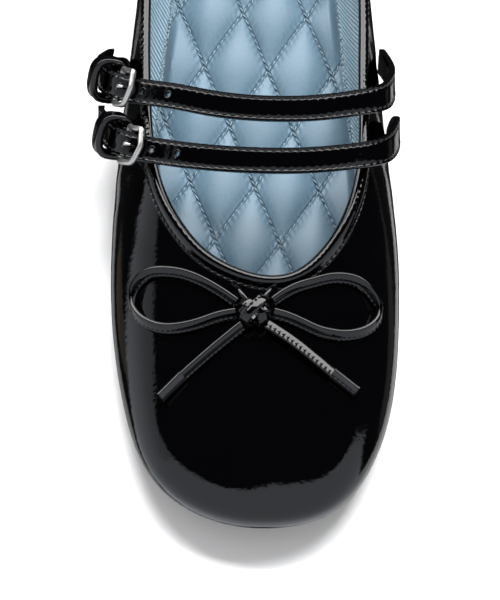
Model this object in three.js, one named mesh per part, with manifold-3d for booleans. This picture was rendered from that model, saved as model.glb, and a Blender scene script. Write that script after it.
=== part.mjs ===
// Two-strap mary jane ballet shoe for the right foot, in millimetres.
// +Z is up, the toe points along -Y and the inner side of the foot is +X.
// The origin is the middle of the heel's flat underside, on the floor.
import * as THREE from 'three';
import { mergeVertices } from 'three/addons/utils/BufferGeometryUtils.js';
import Module from 'manifold-3d';

const wasm = await Module();
wasm.setup();

// Driving sizes
const WALL = 1.8; // patent upper and its lining together
const GAP = 0.3; // clearance between neighbouring pieces
const OUTSOLE_THICK = 2.8;
const HEEL_SEAT = 11; // top of the outsole above the floor, under the heel
const HEEL_BREAST = -26; // front of the heel block
const BALL_BACK = -112; // the flat tread runs from here ...
const BALL_FRONT = -158; // ... to here
const TOE_TIP = -220;
const TOE_SPRING = 6; // rise of the sole at the tip of the toe
const FEATHER_INSET = 4.2; // how far the upper tucks in between its widest line and the sole
const LASTING_MARGIN = 7; // upper turned in flat under the insole
const OUTSOLE_INSET = 4.4; // sole edge inside the widest line of the upper
const OUTSOLE_BEVEL = 1.2; // its lower edge is rounded in by this much
const INSOLE_EDGE = 3.6; // thickness of the insole's padded edge
const INSOLE_CROWN = 1.0; // how much the padding stands above its edge
const BINDING_TALL = 5;
const BINDING_THICK = 3.4;
const BINDING_PROUD = 0.2; // its middle line stands this far out of the upper's outer face
const STRAP_WIDE = 8;
const STRAP_THICK = 2;
const STRAP_TILT = 18; // degrees that a strap's face leans towards the toe, as the instep does
const BUCKLE_WIRE = 1.7;
const BUCKLE_WIDE = 10.8; // between the middles of the buckle's long sides
const BUCKLE_LONG = 8.5; // between its outer bar's ends and its hinge bar
const BUCKLE_PEAK = 1; // the outer bar is bent out by this much where the prong rests
const PRONG_WIRE = 1.2;
const PRONG_HOLE = 4.9; // from the outer bar to the hole that the prong comes up through
const HOLE_PITCH = 9;
const HOLE_WIDE = 2.2;
const BUCKLE_STRAP_THICK = 1.6;
const KEEPER_AT = 15.2; // from the outer bar to the middle of the keeper
const KEEPER_WIDE = 5.6;
const KEEPER_THICK = 1.6;
const STRING_WIDE = 3.3;
const STRING_THICK = 1.4;
const AGLET_LONG = 9.4;
const AGLET_WIDE = 3.4;

const RIBS_PER_STATION = 4;

// Turns a table of short rows into objects with named columns.
function table(columns, rows) {
  return rows.map((row) => Object.fromEntries(columns.map((name, i) => [name, row[i]])));
}

// Sections of the upper, clockwise seen from above. outX, outY: widest line of the upper.
// girth: height of that line above the sole. topX, topY, topZ: top edge. rise: how long the
// wall climbs straight up. lie: angle at which it meets the top edge. reach: how long it holds it.
const STATIONS = table(
  ['place', 'outX', 'outY', 'girth', 'topX', 'topY', 'topZ', 'rise', 'lie', 'reach'],
  [
    ['toe', 5.5, -220.2, 7, 3.6, -145.8, 35.5, 13, 13, 40],
    ['toe_outer', -13.5, -217.0, 7, -5.0, -143.6, 36.0, 13, 14, 38],
    ['corner_outer', -30.2, -203.4, 7.5, -14.6, -138.0, 37.0, 13, 16, 34],
    ['vamp_outer', -39.2, -179.0, 8, -22.8, -128.2, 38.6, 13, 20, 26],
    ['ball_outer', -43.4, -150.0, 9, -28.8, -115.6, 40.4, 12, 30, 18],
    ['throat_outer', -44.1, -122.0, 9.5, -31.8, -101.0, 42.4, 12, 48, 13],
    ['waist_outer', -42.6, -92.0, 9.5, -33.2, -80.0, 44.6, 11, 64, 11],
    ['arch_outer', -39.4, -58.0, 9.5, -33.5, -54.0, 46.2, 11, 72, 11],
    ['quarter_outer', -36.2, -26.0, 9.5, -32.6, -25.0, 47.4, 11, 76, 11],
    ['heel_outer', -32.0, 4.0, 9.5, -28.4, 2.0, 49.6, 12, 78, 12],
    ['counter_outer', -21.4, 22.4, 9.5, -18.0, 18.0, 52.6, 13, 80, 13],
    ['back', 0, 29.8, 9.5, 0, 24.4, 54.6, 14, 82, 14],
    ['counter_inner', 21.4, 22.4, 9.5, 18.0, 18.0, 52.6, 13, 80, 13],
    ['heel_inner', 32.0, 4.0, 9.5, 28.4, 2.0, 49.6, 12, 78, 12],
    ['quarter_inner', 35.8, -26.0, 9.5, 32.6, -25.0, 47.4, 11, 76, 11],
    ['arch_inner', 38.4, -58.0, 9.5, 33.4, -54.0, 46.2, 11, 72, 11],
    ['waist_inner', 41.6, -92.0, 9.5, 33.0, -80.0, 44.6, 11, 64, 11],
    ['throat_inner', 44.0, -124.0, 9.5, 32.8, -101.0, 42.4, 12, 48, 13],
    ['ball_inner', 43.8, -150.0, 9, 30.8, -115.6, 40.2, 12, 30, 18],
    ['vamp_inner', 41.4, -176.0, 8, 26.4, -128.0, 38.4, 13, 20, 26],
    ['corner_inner', 34.8, -198.6, 7.5, 19.8, -138.0, 36.6, 13, 16, 34],
    ['toe_inner', 23.2, -214.4, 7, 12.0, -144.4, 35.7, 13, 14, 38],
  ],
);
const RIBS = STATIONS.length * RIBS_PER_STATION;

// Strap routes from the inner side's sole edge, over the foot, to the free end outside.
// mark names the place where the strap passes under the buckle's outer bar.
const STRAP_ROUTES = {
  front: table(
    ['mark', 'x', 'y', 'z'],
    [
      ['sole_edge', 42.2, -81, 12.5],
      ['', 42.9, -83, 20],
      ['', 43.6, -86.5, 27],
      ['', 43.6, -92, 33],
      ['', 42.4, -98.7, 38],
      ['', 40.2, -104.5, 42.6],
      ['', 36.2, -108.7, 46.2],
      ['', 28.7, -112.5, 49.8],
      ['', 16.5, -116, 53],
      ['', 2.7, -117.4, 54.8],
      ['', -11, -115.6, 53.4],
      ['', -21.7, -112.4, 50.6],
      ['', -29.6, -109, 47.6],
      ['outer_bar', -34.9, -107.2, 46.6],
      ['', -40.2, -104, 44.6],
      ['', -44, -98.2, 40.2],
      ['', -46.3, -91, 34.6],
      ['', -47.4, -84, 30],
      ['free_end', -47.6, -78, 27],
    ],
  ),
  rear: table(
    ['mark', 'x', 'y', 'z'],
    [
      ['sole_edge', 40, -51.5, 14],
      ['', 41.2, -59.5, 21.5],
      ['', 42.2, -67.5, 28.5],
      ['', 42.4, -74.8, 34.8],
      ['', 41.4, -81.6, 40.3],
      ['', 39.6, -86.6, 44.5],
      ['', 36.3, -90, 47.6],
      ['', 28.8, -94.3, 51.5],
      ['', 16.6, -98.7, 55.5],
      ['', 2.7, -100.2, 57.5],
      ['', -11.2, -97.6, 56],
      ['', -23.1, -92.8, 53],
      ['', -31.4, -89.2, 50],
      ['outer_bar', -37.4, -86.4, 47.6],
      ['', -42.4, -83, 45.2],
      ['', -45.8, -78, 41],
      ['', -47.6, -71.6, 36],
      ['', -47.2, -64.9, 31.4],
      ['free_end', -44.9, -56.6, 27.4],
    ],
  ),
};

// Where each short buckle strap comes up from the sole's edge on the outer side
const BUCKLE_STRAP_FEET = {
  front: table(
    ['x', 'y', 'z'],
    [
      [-43.4, -84, 24],
      [-43.0, -79, 12.5],
    ],
  ),
  rear: table(
    ['x', 'y', 'z'],
    [
      [-41.6, -62, 24],
      [-40.2, -56, 13.5],
    ],
  ),
};

// The bow lies on the vamp in front of the throat. Each string is a route of hand-set points,
// and a tail's route runs on through its aglet to the tip.
const BOW_STRINGS = {
  bow_loop_outer: table(
    ['x', 'y', 'z'],
    [
      [-5.6, -156, 36.2],
      [-8.5, -153.7, 36.5],
      [-12.5, -150.8, 36.6],
      [-17, -148, 36.6],
      [-22, -145.8, 36.4],
      [-27, -144.5, 35.6],
      [-32, -144, 33.9],
      [-35.8, -145.9, 31.2],
      [-37.6, -150.2, 29],
      [-35.8, -155.8, 29.2],
      [-32.3, -159.8, 30.6],
      [-27.5, -162.4, 32],
      [-21.5, -162.7, 33.2],
      [-16, -161.6, 34.1],
      [-10.8, -160, 34.9],
      [-5.8, -159.2, 35.4],
    ],
  ),
  bow_loop_inner: table(
    ['x', 'y', 'z'],
    [
      [5.4, -155.6, 36.2],
      [8.5, -153.2, 36.5],
      [13, -150.6, 36.6],
      [18, -148.8, 36.5],
      [22.5, -147.4, 36.3],
      [27, -147, 35.8],
      [31.8, -147.9, 34.4],
      [35.6, -150.9, 31.8],
      [37.6, -155, 29.6],
      [36, -159.6, 29.8],
      [31.7, -163.4, 31.1],
      [26.8, -165, 32.2],
      [23, -165, 32.9],
      [19, -164.2, 33.5],
      [14.3, -162.2, 34.3],
      [9.5, -160.2, 35],
      [5.6, -159.2, 35.5],
    ],
  ),
  bow_tail_outer: table(
    ['x', 'y', 'z'],
    [
      [-3.9, -163.4, 35],
      [-5.5, -164.6, 34.7],
      [-7.2, -166, 34.3],
      [-9, -167.5, 33.9],
      [-10.8, -169, 33.5],
      [-12.6, -170.5, 33.1],
      [-14.4, -172.1, 32.7],
      [-16.2, -173.7, 32.3],
      [-17.9, -175.2, 31.9],
      [-19.6, -176.7, 31.4],
      [-21.3, -178.2, 30.9],
      [-23, -179.8, 30.3],
      [-24.7, -181.4, 29.7],
      [-26.4, -183, 29.1],
      [-28.1, -184.6, 28.5],
    ],
  ),
  bow_tail_inner: table(
    ['x', 'y', 'z'],
    [
      [3.6, -163, 35.1],
      [5.4, -164.1, 34.8],
      [7.3, -165.3, 34.4],
      [9.2, -166.6, 34.1],
      [11.1, -168, 33.8],
      [13, -169.5, 33.5],
      [14.9, -171.1, 33.2],
      [16.7, -172.6, 32.8],
      [18.5, -174.1, 32.4],
      [20.3, -175.6, 32],
      [22.2, -177.1, 31.4],
      [24.2, -178.6, 30.8],
      [26.2, -180, 30.1],
      [28.2, -181.4, 29.4],
      [30.2, -182.8, 28.7],
    ],
  ),
};
const KNOT = { x: -0.1, y: -159, z: 36.9, wide: 9.2, deep: 9.4, tall: 5.8 };

// Finishes, one for each material of the shoe
const PATENT = { color: 0x07080b, roughness: 0.08, metalness: 0 };
const SATIN_BLUE = { color: 0x9dbccb, roughness: 0.45, metalness: 0 };
const SOLE_RUBBER = { color: 0x17171a, roughness: 0.6, metalness: 0 };
const BUCKLE_STEEL = { color: 0xc8c6c2, roughness: 0.3, metalness: 1 };
const AGLET_PLASTIC = { color: 0x0b0b0d, roughness: 0.2, metalness: 0 };

const shoe = new THREE.Group();

function addPiece(name, geometry, finish) {
  const piece = new THREE.Mesh(geometry, new THREE.MeshStandardMaterial(finish));
  piece.name = name;
  shoe.add(piece);
  return piece;
}

// A closed solid skinned over rings that all have the same number of points. ends is 'join'
// where the last ring meets the first, 'fan' for two flat ends, or 'across' for two long
// caps laid straight across from one side of the shoe to the other.
function skin(rings, ends) {
  const size = rings[0].length;
  const points = rings.flat();
  const faces = [];
  const pairs = ends === 'join' ? rings.length : rings.length - 1;
  for (let r = 0; r < pairs; r++) {
    const low = r * size;
    const high = ((r + 1) % rings.length) * size;
    for (let i = 0; i < size; i++) {
      const j = (i + 1) % size;
      faces.push(low + i, low + j, high + j, low + i, high + j, high + i);
    }
  }
  const last = (rings.length - 1) * size;
  if (ends === 'across') {
    for (let i = 0; i < size / 2; i++) {
      const a = i;
      const b = i + 1;
      const c = (size - i) % size;
      const d = size - i - 1;
      if (a !== c) faces.push(b, a, c, last + a, last + b, last + c);
      if (b !== d) faces.push(b, c, d, last + b, last + d, last + c);
    }
  }
  if (ends === 'fan') {
    for (let i = 1; i < size - 1; i++) {
      faces.push(i + 1, i, 0, last, last + i, last + i + 1);
    }
  }
  return geometryFrom(points, faces);
}

// Builds the geometry and turns every face round where the solid came out inside out.
function geometryFrom(points, faces) {
  const volume = faces.reduce((sum, _, i) => {
    if (i % 3 !== 0) return sum;
    const [a, b, c] = [points[faces[i]], points[faces[i + 1]], points[faces[i + 2]]];
    return sum + a.dot(new THREE.Vector3().crossVectors(b, c));
  }, 0);
  const outward = volume > 0 ? faces : faces.slice().reverse();
  const geometry = new THREE.BufferGeometry().setFromPoints(points);
  geometry.setIndex(outward);
  geometry.computeVertexNormals();
  return geometry;
}

function toManifold(geometry) {
  const vertProperties = new Float32Array(geometry.getAttribute('position').array);
  const triVerts = new Uint32Array(geometry.index.array);
  return new wasm.Manifold(new wasm.Mesh({ numProp: 3, vertProperties, triVerts }));
}

function fromManifold(solid) {
  const mesh = solid.getMesh();
  const geometry = new THREE.BufferGeometry();
  geometry.setAttribute('position', new THREE.BufferAttribute(mesh.vertProperties, 3));
  geometry.setIndex(new THREE.BufferAttribute(mesh.triVerts, 1));
  geometry.computeVertexNormals();
  return geometry;
}

// Height of the outsole's top surface: flat heel seat, arch, flat tread and toe spring.
function seatHeight(y) {
  if (y > HEEL_BREAST) return HEEL_SEAT;
  if (y > BALL_BACK) {
    const climb = THREE.MathUtils.smoothstep(y, BALL_BACK, HEEL_BREAST);
    return THREE.MathUtils.lerp(OUTSOLE_THICK, HEEL_SEAT, climb);
  }
  if (y > BALL_FRONT) return OUTSOLE_THICK;
  const forward = (BALL_FRONT - y) / (BALL_FRONT - TOE_TIP);
  return OUTSOLE_THICK + TOE_SPRING * forward * forward;
}

// Closed smooth curves through three columns of the station table
function stationCurve(x, y, z) {
  const points = STATIONS.map((row) => new THREE.Vector3(row[x] ?? 0, row[y] ?? 0, row[z] ?? 0));
  return new THREE.CatmullRomCurve3(points, true, 'centripetal');
}
const outlineCurve = stationCurve('outX', 'outY', 'girth');
const topCurve = stationCurve('topX', 'topY', 'topZ');
const wallCurve = stationCurve('rise', 'lie', 'reach');
const UP = new THREE.Vector3(0, 0, 1);

// One section of the upper: where it is widest, which way is inwards, and its wall's curve.
function makeRib(index) {
  const place = index / RIBS;
  const outline = outlineCurve.getPoint(place);
  const heading = outlineCurve.getTangent(place);
  const inward = new THREE.Vector3(heading.y, -heading.x, 0).normalize();
  const top = topCurve.getPoint(place);
  const { x: rise, y: lie, z: reach } = wallCurve.getPoint(place);
  const widest = new THREE.Vector3(
    outline.x,
    outline.y,
    seatHeight(outline.y) + GAP + outline.z,
  );
  const across = top.clone().sub(widest).setZ(0).normalize();
  const slope = THREE.MathUtils.degToRad(lie);
  const arrival = across.multiplyScalar(Math.cos(slope)).addScaledVector(UP, Math.sin(slope));
  const wall = new THREE.CubicBezierCurve3(
    widest,
    widest.clone().addScaledVector(UP, rise),
    top.clone().addScaledVector(arrival, -reach),
    top,
  );
  return { widest, inward, wall };
}
const ribs = Array.from({ length: RIBS }, (_, index) => makeRib(index));

// The binding's middle line, with the directions along it, across it and out of the wall
const bindingLine = ribs.map(({ wall }) => wall.getPointAt(1 - BINDING_TALL / 2 / wall.getLength()));
const bindingFrames = bindingLine.map((point, r) => {
  const before = bindingLine[(r + RIBS - 1) % RIBS];
  const after = bindingLine[(r + 1) % RIBS];
  const along = after.clone().sub(before).normalize();
  const climb = ribs[r].wall.getTangentAt(1 - BINDING_TALL / 2 / ribs[r].wall.getLength());
  const squareness = new THREE.Vector3().crossVectors(climb, along).length();
  const across = climb.addScaledVector(along, -climb.dot(along)).normalize();
  const outward = new THREE.Vector3().crossVectors(across, along).normalize();
  return { point, across, outward, squareness };
});

// A point inset from the widest line, at the height of the outsole's top plus a lift
function underfoot(rib, inset, lift) {
  const point = rib.widest.clone().addScaledVector(rib.inward, inset);
  point.z = seatHeight(point.y) + lift;
  return point;
}

// The outer face of one rib, from the turned-in margin up to just under the binding
const CURL_STEPS = 3;
const WALL_STEPS = 6;
const STEP_SPREAD = 1.3; // steps lie closer together near the widest line, where the wall turns
function outerFace(rib, r) {
  const feather = underfoot(rib, FEATHER_INSET, GAP);
  const face = [underfoot(rib, FEATHER_INSET + LASTING_MARGIN, GAP), feather];
  for (let step = CURL_STEPS - 1; step > 0; step--) {
    const angle = ((step / CURL_STEPS) * Math.PI) / 2;
    const point = rib.widest.clone();
    point.addScaledVector(rib.inward, FEATHER_INSET * (1 - Math.cos(angle)));
    point.z = THREE.MathUtils.lerp(rib.widest.z, feather.z, Math.sin(angle));
    face.push(point);
  }
  const binding = BINDING_TALL / 2 + (BINDING_TALL / 2 + GAP) / bindingFrames[r].squareness;
  const end = 1 - binding / rib.wall.getLength();
  for (let step = 0; step <= WALL_STEPS; step++) {
    const share = (step / WALL_STEPS) ** STEP_SPREAD;
    face.push(rib.wall.getPointAt(end * share));
  }
  return face;
}

// Offsets a wrapped grid of points inwards along its own normals
function offsetInwards(grid, depth) {
  const rows = grid.length;
  return grid.map((row, r) =>
    row.map((point, i) => {
      const before = grid[(r + rows - 1) % rows][i];
      const after = grid[(r + 1) % rows][i];
      const below = row[Math.max(i - 1, 0)];
      const above = row[Math.min(i + 1, row.length - 1)];
      const around = after.clone().sub(before);
      const inward = new THREE.Vector3().crossVectors(around, above.clone().sub(below));
      return point.clone().addScaledVector(inward.normalize(), depth);
    }),
  );
}

function makeUpper() {
  const outer = ribs.map(outerFace);
  const inner = offsetInwards(outer, WALL);
  const rings = outer.map((face, r) => [...face, ...inner[r].slice().reverse()]);
  addPiece('upper', skin(rings, 'join'), PATENT);
  return inner;
}
const upperInside = makeUpper();

// The rolled casing that binds the top edge and holds the drawstring
const BINDING_SIDES = 6;
function makeBinding() {
  const rings = bindingFrames.map(({ point, across, outward }) => {
    const centre = point.clone().addScaledVector(outward, BINDING_PROUD);
    return Array.from({ length: BINDING_SIDES }, (_, side) => {
      const angle = (side / BINDING_SIDES) * 2 * Math.PI;
      return centre
        .clone()
        .addScaledVector(across, (Math.cos(angle) * BINDING_TALL) / 2)
        .addScaledVector(outward, (Math.sin(angle) * BINDING_THICK) / 2);
    });
  });
  addPiece('topline_binding', skin(rings, 'join'), PATENT);
}
makeBinding();

function makeOutsole() {
  const levels = table(
    ['inset', 'lift'],
    [
      [OUTSOLE_INSET + OUTSOLE_BEVEL, -OUTSOLE_THICK],
      [OUTSOLE_INSET, -OUTSOLE_THICK + OUTSOLE_BEVEL],
      [OUTSOLE_INSET, 0],
    ],
  );
  const rings = levels.map(({ inset, lift }) => ribs.map((rib) => underfoot(rib, inset, lift)));
  addPiece('outsole', skin(rings, 'across'), SOLE_RUBBER);
}
makeOutsole();

// The D-shaped heel block: the sole's own outline behind the breast line
function makeHeel() {
  const inset = OUTSOLE_INSET + 0.6;
  const topInset = OUTSOLE_INSET + 0.2;
  const height = HEEL_SEAT - OUTSOLE_THICK - GAP;
  const behind = ribs.filter((rib) => rib.widest.y > HEEL_BREAST);
  const breastBow = 2.5; // the breast is slightly hollow
  const ring = (depth, z) => {
    const side = behind.map((rib) => {
      const point = rib.widest.clone().addScaledVector(rib.inward, depth);
      return point.setZ(z);
    });
    const from = side[side.length - 1];
    const to = side[0];
    const breast = [0.25, 0.5, 0.75].map((share) => {
      const point = from.clone().lerp(to, share);
      point.y += breastBow * Math.sin(share * Math.PI);
      return point;
    });
    return [...side, ...breast];
  };
  const block = skin([ring(inset, 0), ring(topInset, height)], 'fan');
  addPiece('heel', block, SOLE_RUBBER);
}
makeHeel();

// The padded insole rests on the turned-in margin, and its filler drops between it
function makeInsole() {
  const rest = WALL + 2.5 * GAP;
  const filler = FEATHER_INSET + LASTING_MARGIN + 2 * GAP;
  const insideWall = (rib, r, lift) => {
    const heights = upperInside[r].map((point) => point.z - seatHeight(point.y));
    const above = heights.findIndex((height, i) => i > 1 && height >= lift);
    const [low, high] = [upperInside[r][above - 1], upperInside[r][above]];
    const share = (lift - heights[above - 1]) / (heights[above] - heights[above - 1]);
    return low.clone().lerp(high, share).sub(rib.widest).dot(rib.inward);
  };
  const levels = table(
    ['edge', 'extra', 'lift'],
    [
      ['filler', 0, GAP],
      ['filler', 0, rest],
      ['wall', 1.4, rest],
      ['wall', 0.6, rest + 1.6],
      ['wall', 0.6, rest + INSOLE_EDGE],
      ['wall', 4, rest + INSOLE_EDGE + INSOLE_CROWN],
    ],
  );
  const rings = levels.map(({ edge, extra, lift }) =>
    ribs.map((rib, r) => {
      const inset = edge === 'filler' ? filler : insideWall(rib, r, lift) + extra;
      return underfoot(rib, inset, lift);
    }),
  );
  addPiece('insole', skin(rings, 'across'), SATIN_BLUE);
}
makeInsole();

// A route through points, with the frame of a ribbon that wraps the foot at each place:
// along the route, across the ribbon (towards the heel) and out of its face.
const ROUTE_DIVISIONS = 24;
const TILTED = THREE.MathUtils.degToRad(STRAP_TILT);
const TOWARDS_HEEL = new THREE.Vector3(0, Math.cos(TILTED), Math.sin(TILTED));
function ribbonRoute(rows) {
  const points = rows.map(({ x, y, z }) => new THREE.Vector3(x, y, z));
  const curve = new THREE.CatmullRomCurve3(points, false, 'centripetal');
  curve.arcLengthDivisions = ROUTE_DIVISIONS * (points.length - 1);
  const length = curve.getLength();
  const frameAt = (distance) => {
    const share = THREE.MathUtils.clamp(distance / length, 0, 1);
    const point = curve.getPointAt(share);
    const along = curve.getTangentAt(share);
    const across = TOWARDS_HEEL.clone();
    across.addScaledVector(along, -across.dot(along)).normalize();
    const outward = new THREE.Vector3().crossVectors(across, along);
    return { point, along, across, outward };
  };
  const distanceTo = (mark) => {
    const index = rows.findIndex((row) => row.mark === mark);
    return curve.getLengths()[index * ROUTE_DIVISIONS];
  };
  return { length, frameAt, distanceTo };
}

// A point given by its distance along a route, across the ribbon and out of its face
function besideRoute(route, distance, across, outward) {
  const frame = route.frameAt(distance);
  return frame.point
    .clone()
    .addScaledVector(frame.across, across)
    .addScaledVector(frame.outward, outward);
}

// A flat band along a route
function makeBand(route, wide, thick, steps) {
  const corners = table(
    ['across', 'outward'],
    [
      [-wide / 2, -thick / 2],
      [wide / 2, -thick / 2],
      [wide / 2, thick / 2],
      [-wide / 2, thick / 2],
    ],
  );
  const rings = Array.from({ length: steps + 1 }, (_, step) =>
    corners.map(({ across, outward }) =>
      besideRoute(route, (route.length * step) / steps, across, outward),
    ),
  );
  return skin(rings, 'fan');
}

// A round wire along a line of points that never runs straight up
const WIRE_SIDES = 8;
function makeWire(points, wire, closed) {
  const count = points.length;
  const rings = points.map((point, i) => {
    const before = points[closed ? (i + count - 1) % count : Math.max(i - 1, 0)];
    const after = points[closed ? (i + 1) % count : Math.min(i + 1, count - 1)];
    const along = after.clone().sub(before).normalize();
    const outward = UP.clone().addScaledVector(along, -along.z).normalize();
    const across = new THREE.Vector3().crossVectors(along, outward);
    return Array.from({ length: WIRE_SIDES }, (_, side) => {
      const angle = ((side + 0.5) / WIRE_SIDES) * 2 * Math.PI;
      return point
        .clone()
        .addScaledVector(across, (Math.cos(angle) * wire) / 2)
        .addScaledVector(outward, (Math.sin(angle) * wire) / 2);
    });
  });
  return skin(rings, closed ? 'join' : 'fan');
}

// A rounded rectangle as a loop of points, from its half length and half width
function roundedLoop(halfLong, halfWide, steps, squareness) {
  return Array.from({ length: steps }, (_, step) => {
    const angle = (step / steps) * 2 * Math.PI;
    const soften = (value) => Math.sign(value) * Math.abs(value) ** squareness;
    return { long: halfLong * soften(Math.cos(angle)), wide: halfWide * soften(Math.sin(angle)) };
  });
}

// The strap passes under the outer bar and over the hinge bar
const BAR_LIFT = STRAP_THICK / 2 + 2 * GAP + BUCKLE_WIRE / 2;

const STRAP_STEPS = 50;
function makeStrap(place, route, outerBar) {
  const band = toManifold(makeBand(route, STRAP_WIDE, STRAP_THICK, STRAP_STEPS));
  const punches = [0, 1, 2].map((count) => {
    const frame = route.frameAt(outerBar + PRONG_HOLE - count * HOLE_PITCH);
    const punch = new THREE.CylinderGeometry(HOLE_WIDE / 2, HOLE_WIDE / 2, 3 * STRAP_THICK, 12);
    punch.rotateX(Math.PI / 2);
    punch.deleteAttribute('normal');
    punch.deleteAttribute('uv');
    const turn = new THREE.Matrix4().makeBasis(frame.across, frame.along, frame.outward);
    punch.applyMatrix4(turn.setPosition(frame.point));
    return toManifold(mergeVertices(punch));
  });
  const punched = punches.reduce((strap, punch) => strap.subtract(punch), band);
  addPiece(`strap_${place}`, fromManifold(punched), PATENT);
}

function makeBuckle(place, route, outerBar) {
  const loop = roundedLoop(BUCKLE_LONG / 2, BUCKLE_WIDE / 2, 32, 0.3);
  const frame = loop.map(({ long, wide }) => {
    const share = long / BUCKLE_LONG + 0.5;
    const lift = THREE.MathUtils.lerp(BAR_LIFT, -BAR_LIFT, share);
    const peak = BUCKLE_PEAK * (1 - share) * (1 - (2 * Math.abs(wide)) / BUCKLE_WIDE);
    return besideRoute(route, outerBar + share * BUCKLE_LONG - peak, wide, lift);
  });
  addPiece(`buckle_frame_${place}`, makeWire(frame, BUCKLE_WIRE, true), BUCKLE_STEEL);

  const prong = table(
    ['along', 'lift'],
    [
      [PRONG_HOLE + 1.9, -2.2],
      [PRONG_HOLE + 1.0, -2.1],
      [PRONG_HOLE + 0.2, -1.2],
      [PRONG_HOLE, 0],
      [PRONG_HOLE - 0.2, 1.2],
      [PRONG_HOLE - 1.0, 2.3],
      [PRONG_HOLE - 2.2, 2.7],
      [PRONG_HOLE - 3.3, 2.7],
    ],
  ).map(({ along, lift }) => besideRoute(route, outerBar + along, 0, lift));
  addPiece(`buckle_prong_${place}`, makeWire(prong, PRONG_WIRE, false), BUCKLE_STEEL);
}

// A flat band whose two long edges each follow their own line of points
function makeBandBetween(nearEdge, farEdge, thick, steps) {
  const near = new THREE.CatmullRomCurve3(nearEdge, false, 'centripetal');
  const far = new THREE.CatmullRomCurve3(farEdge, false, 'centripetal');
  const rings = Array.from({ length: steps + 1 }, (_, step) => {
    const a = near.getPoint(step / steps);
    const b = far.getPoint(step / steps);
    const along = near.getTangent(step / steps).add(far.getTangent(step / steps));
    const outward = new THREE.Vector3().crossVectors(b.clone().sub(a), along).normalize();
    return [
      a.clone().addScaledVector(outward, -thick / 2),
      b.clone().addScaledVector(outward, -thick / 2),
      b.clone().addScaledVector(outward, thick / 2),
      a.clone().addScaledVector(outward, thick / 2),
    ];
  });
  return skin(rings, 'fan');
}

// The short strap starts under the hinge bar, lies under the main strap through the keeper
// and runs down to the sole's edge
const UNDER_STRAP = STRAP_THICK / 2 + 2.5 * GAP + BUCKLE_STRAP_THICK / 2;
function makeBuckleStrap(place, route, outerBar) {
  const underHinge = BAR_LIFT + BUCKLE_WIRE / 2 + GAP + BUCKLE_STRAP_THICK / 2;
  const underStrap = table(
    ['along', 'drop'],
    [
      [BUCKLE_LONG - 0.4, underHinge],
      [BUCKLE_LONG + 1.8, underHinge - 0.3],
      [BUCKLE_LONG + 4, UNDER_STRAP + 0.3],
      [KEEPER_AT, UNDER_STRAP],
      [KEEPER_AT + KEEPER_WIDE, UNDER_STRAP + 0.3],
    ],
  );
  const footLean = new THREE.Vector3(0, 0.88, 0.47); // the strap rakes back on its way down
  const [near, far] = [-STRAP_WIDE / 2, STRAP_WIDE / 2].map((side) => [
    ...underStrap.map(({ along, drop }) => besideRoute(route, outerBar + along, side, -drop)),
    ...BUCKLE_STRAP_FEET[place].map(({ x, y, z }) =>
      new THREE.Vector3(x, y, z).addScaledVector(footLean, side),
    ),
  ]);
  const band = makeBandBetween(near, far, BUCKLE_STRAP_THICK, 24);
  addPiece(`buckle_strap_${place}`, band, PATENT);
}

// The keeper is a band looped round both straps
function makeKeeper(place, route, outerBar) {
  const top = STRAP_THICK / 2 + GAP + KEEPER_THICK / 2 + 1.2;
  const bottom = UNDER_STRAP + BUCKLE_STRAP_THICK / 2 + GAP + KEEPER_THICK / 2 + 1.3;
  const halfTall = (top + bottom) / 2;
  const halfWide = STRAP_WIDE / 2 + GAP + KEEPER_THICK / 2 + 1.1;
  const loop = roundedLoop(halfTall, halfWide, 28, 0.42);
  const rings = loop.map(({ long, wide }, i) => {
    const before = loop[(i + loop.length - 1) % loop.length];
    const after = loop[(i + 1) % loop.length];
    const run = Math.hypot(after.long - before.long, after.wide - before.wide);
    const out = (after.wide - before.wide) / run;
    const side = -(after.long - before.long) / run;
    const corners = table(
      ['along', 'depth'],
      [
        [-KEEPER_WIDE / 2, -KEEPER_THICK / 2],
        [KEEPER_WIDE / 2, -KEEPER_THICK / 2],
        [KEEPER_WIDE / 2, KEEPER_THICK / 2],
        [-KEEPER_WIDE / 2, KEEPER_THICK / 2],
      ],
    );
    const { point, along, across, outward } = route.frameAt(outerBar + KEEPER_AT);
    return corners.map((corner) =>
      point
        .clone()
        .addScaledVector(along, corner.along)
        .addScaledVector(across, wide + side * corner.depth)
        .addScaledVector(outward, (top - bottom) / 2 + long + out * corner.depth),
    );
  });
  addPiece(`keeper_${place}`, skin(rings, 'join'), PATENT);
}

for (const place of ['front', 'rear']) {
  const route = ribbonRoute(STRAP_ROUTES[place]);
  const outerBar = route.distanceTo('outer_bar');
  makeStrap(place, route, outerBar);
  makeBuckle(place, route, outerBar);
  makeBuckleStrap(place, route, outerBar);
  makeKeeper(place, route, outerBar);
}

// A flat string standing on its edge along a route of points
const STRING_STEPS_PER_MM = 0.45;
function makeString(name, rows) {
  const points = rows.map(({ x, y, z }) => new THREE.Vector3(x, y, z));
  const path = new THREE.CatmullRomCurve3(points, false, 'centripetal');
  const section = new THREE.Shape(
    Array.from({ length: 8 }, (_, side) => {
      const angle = ((side + 0.5) / 8) * 2 * Math.PI;
      return new THREE.Vector2(
        (Math.cos(angle) * STRING_WIDE) / 2,
        (Math.sin(angle) * STRING_THICK) / 2,
      );
    }),
  );
  const steps = Math.round(path.getLength() * STRING_STEPS_PER_MM);
  const string = new THREE.ExtrudeGeometry(section, { steps, extrudePath: path });
  addPiece(name, string, PATENT);
}

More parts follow.
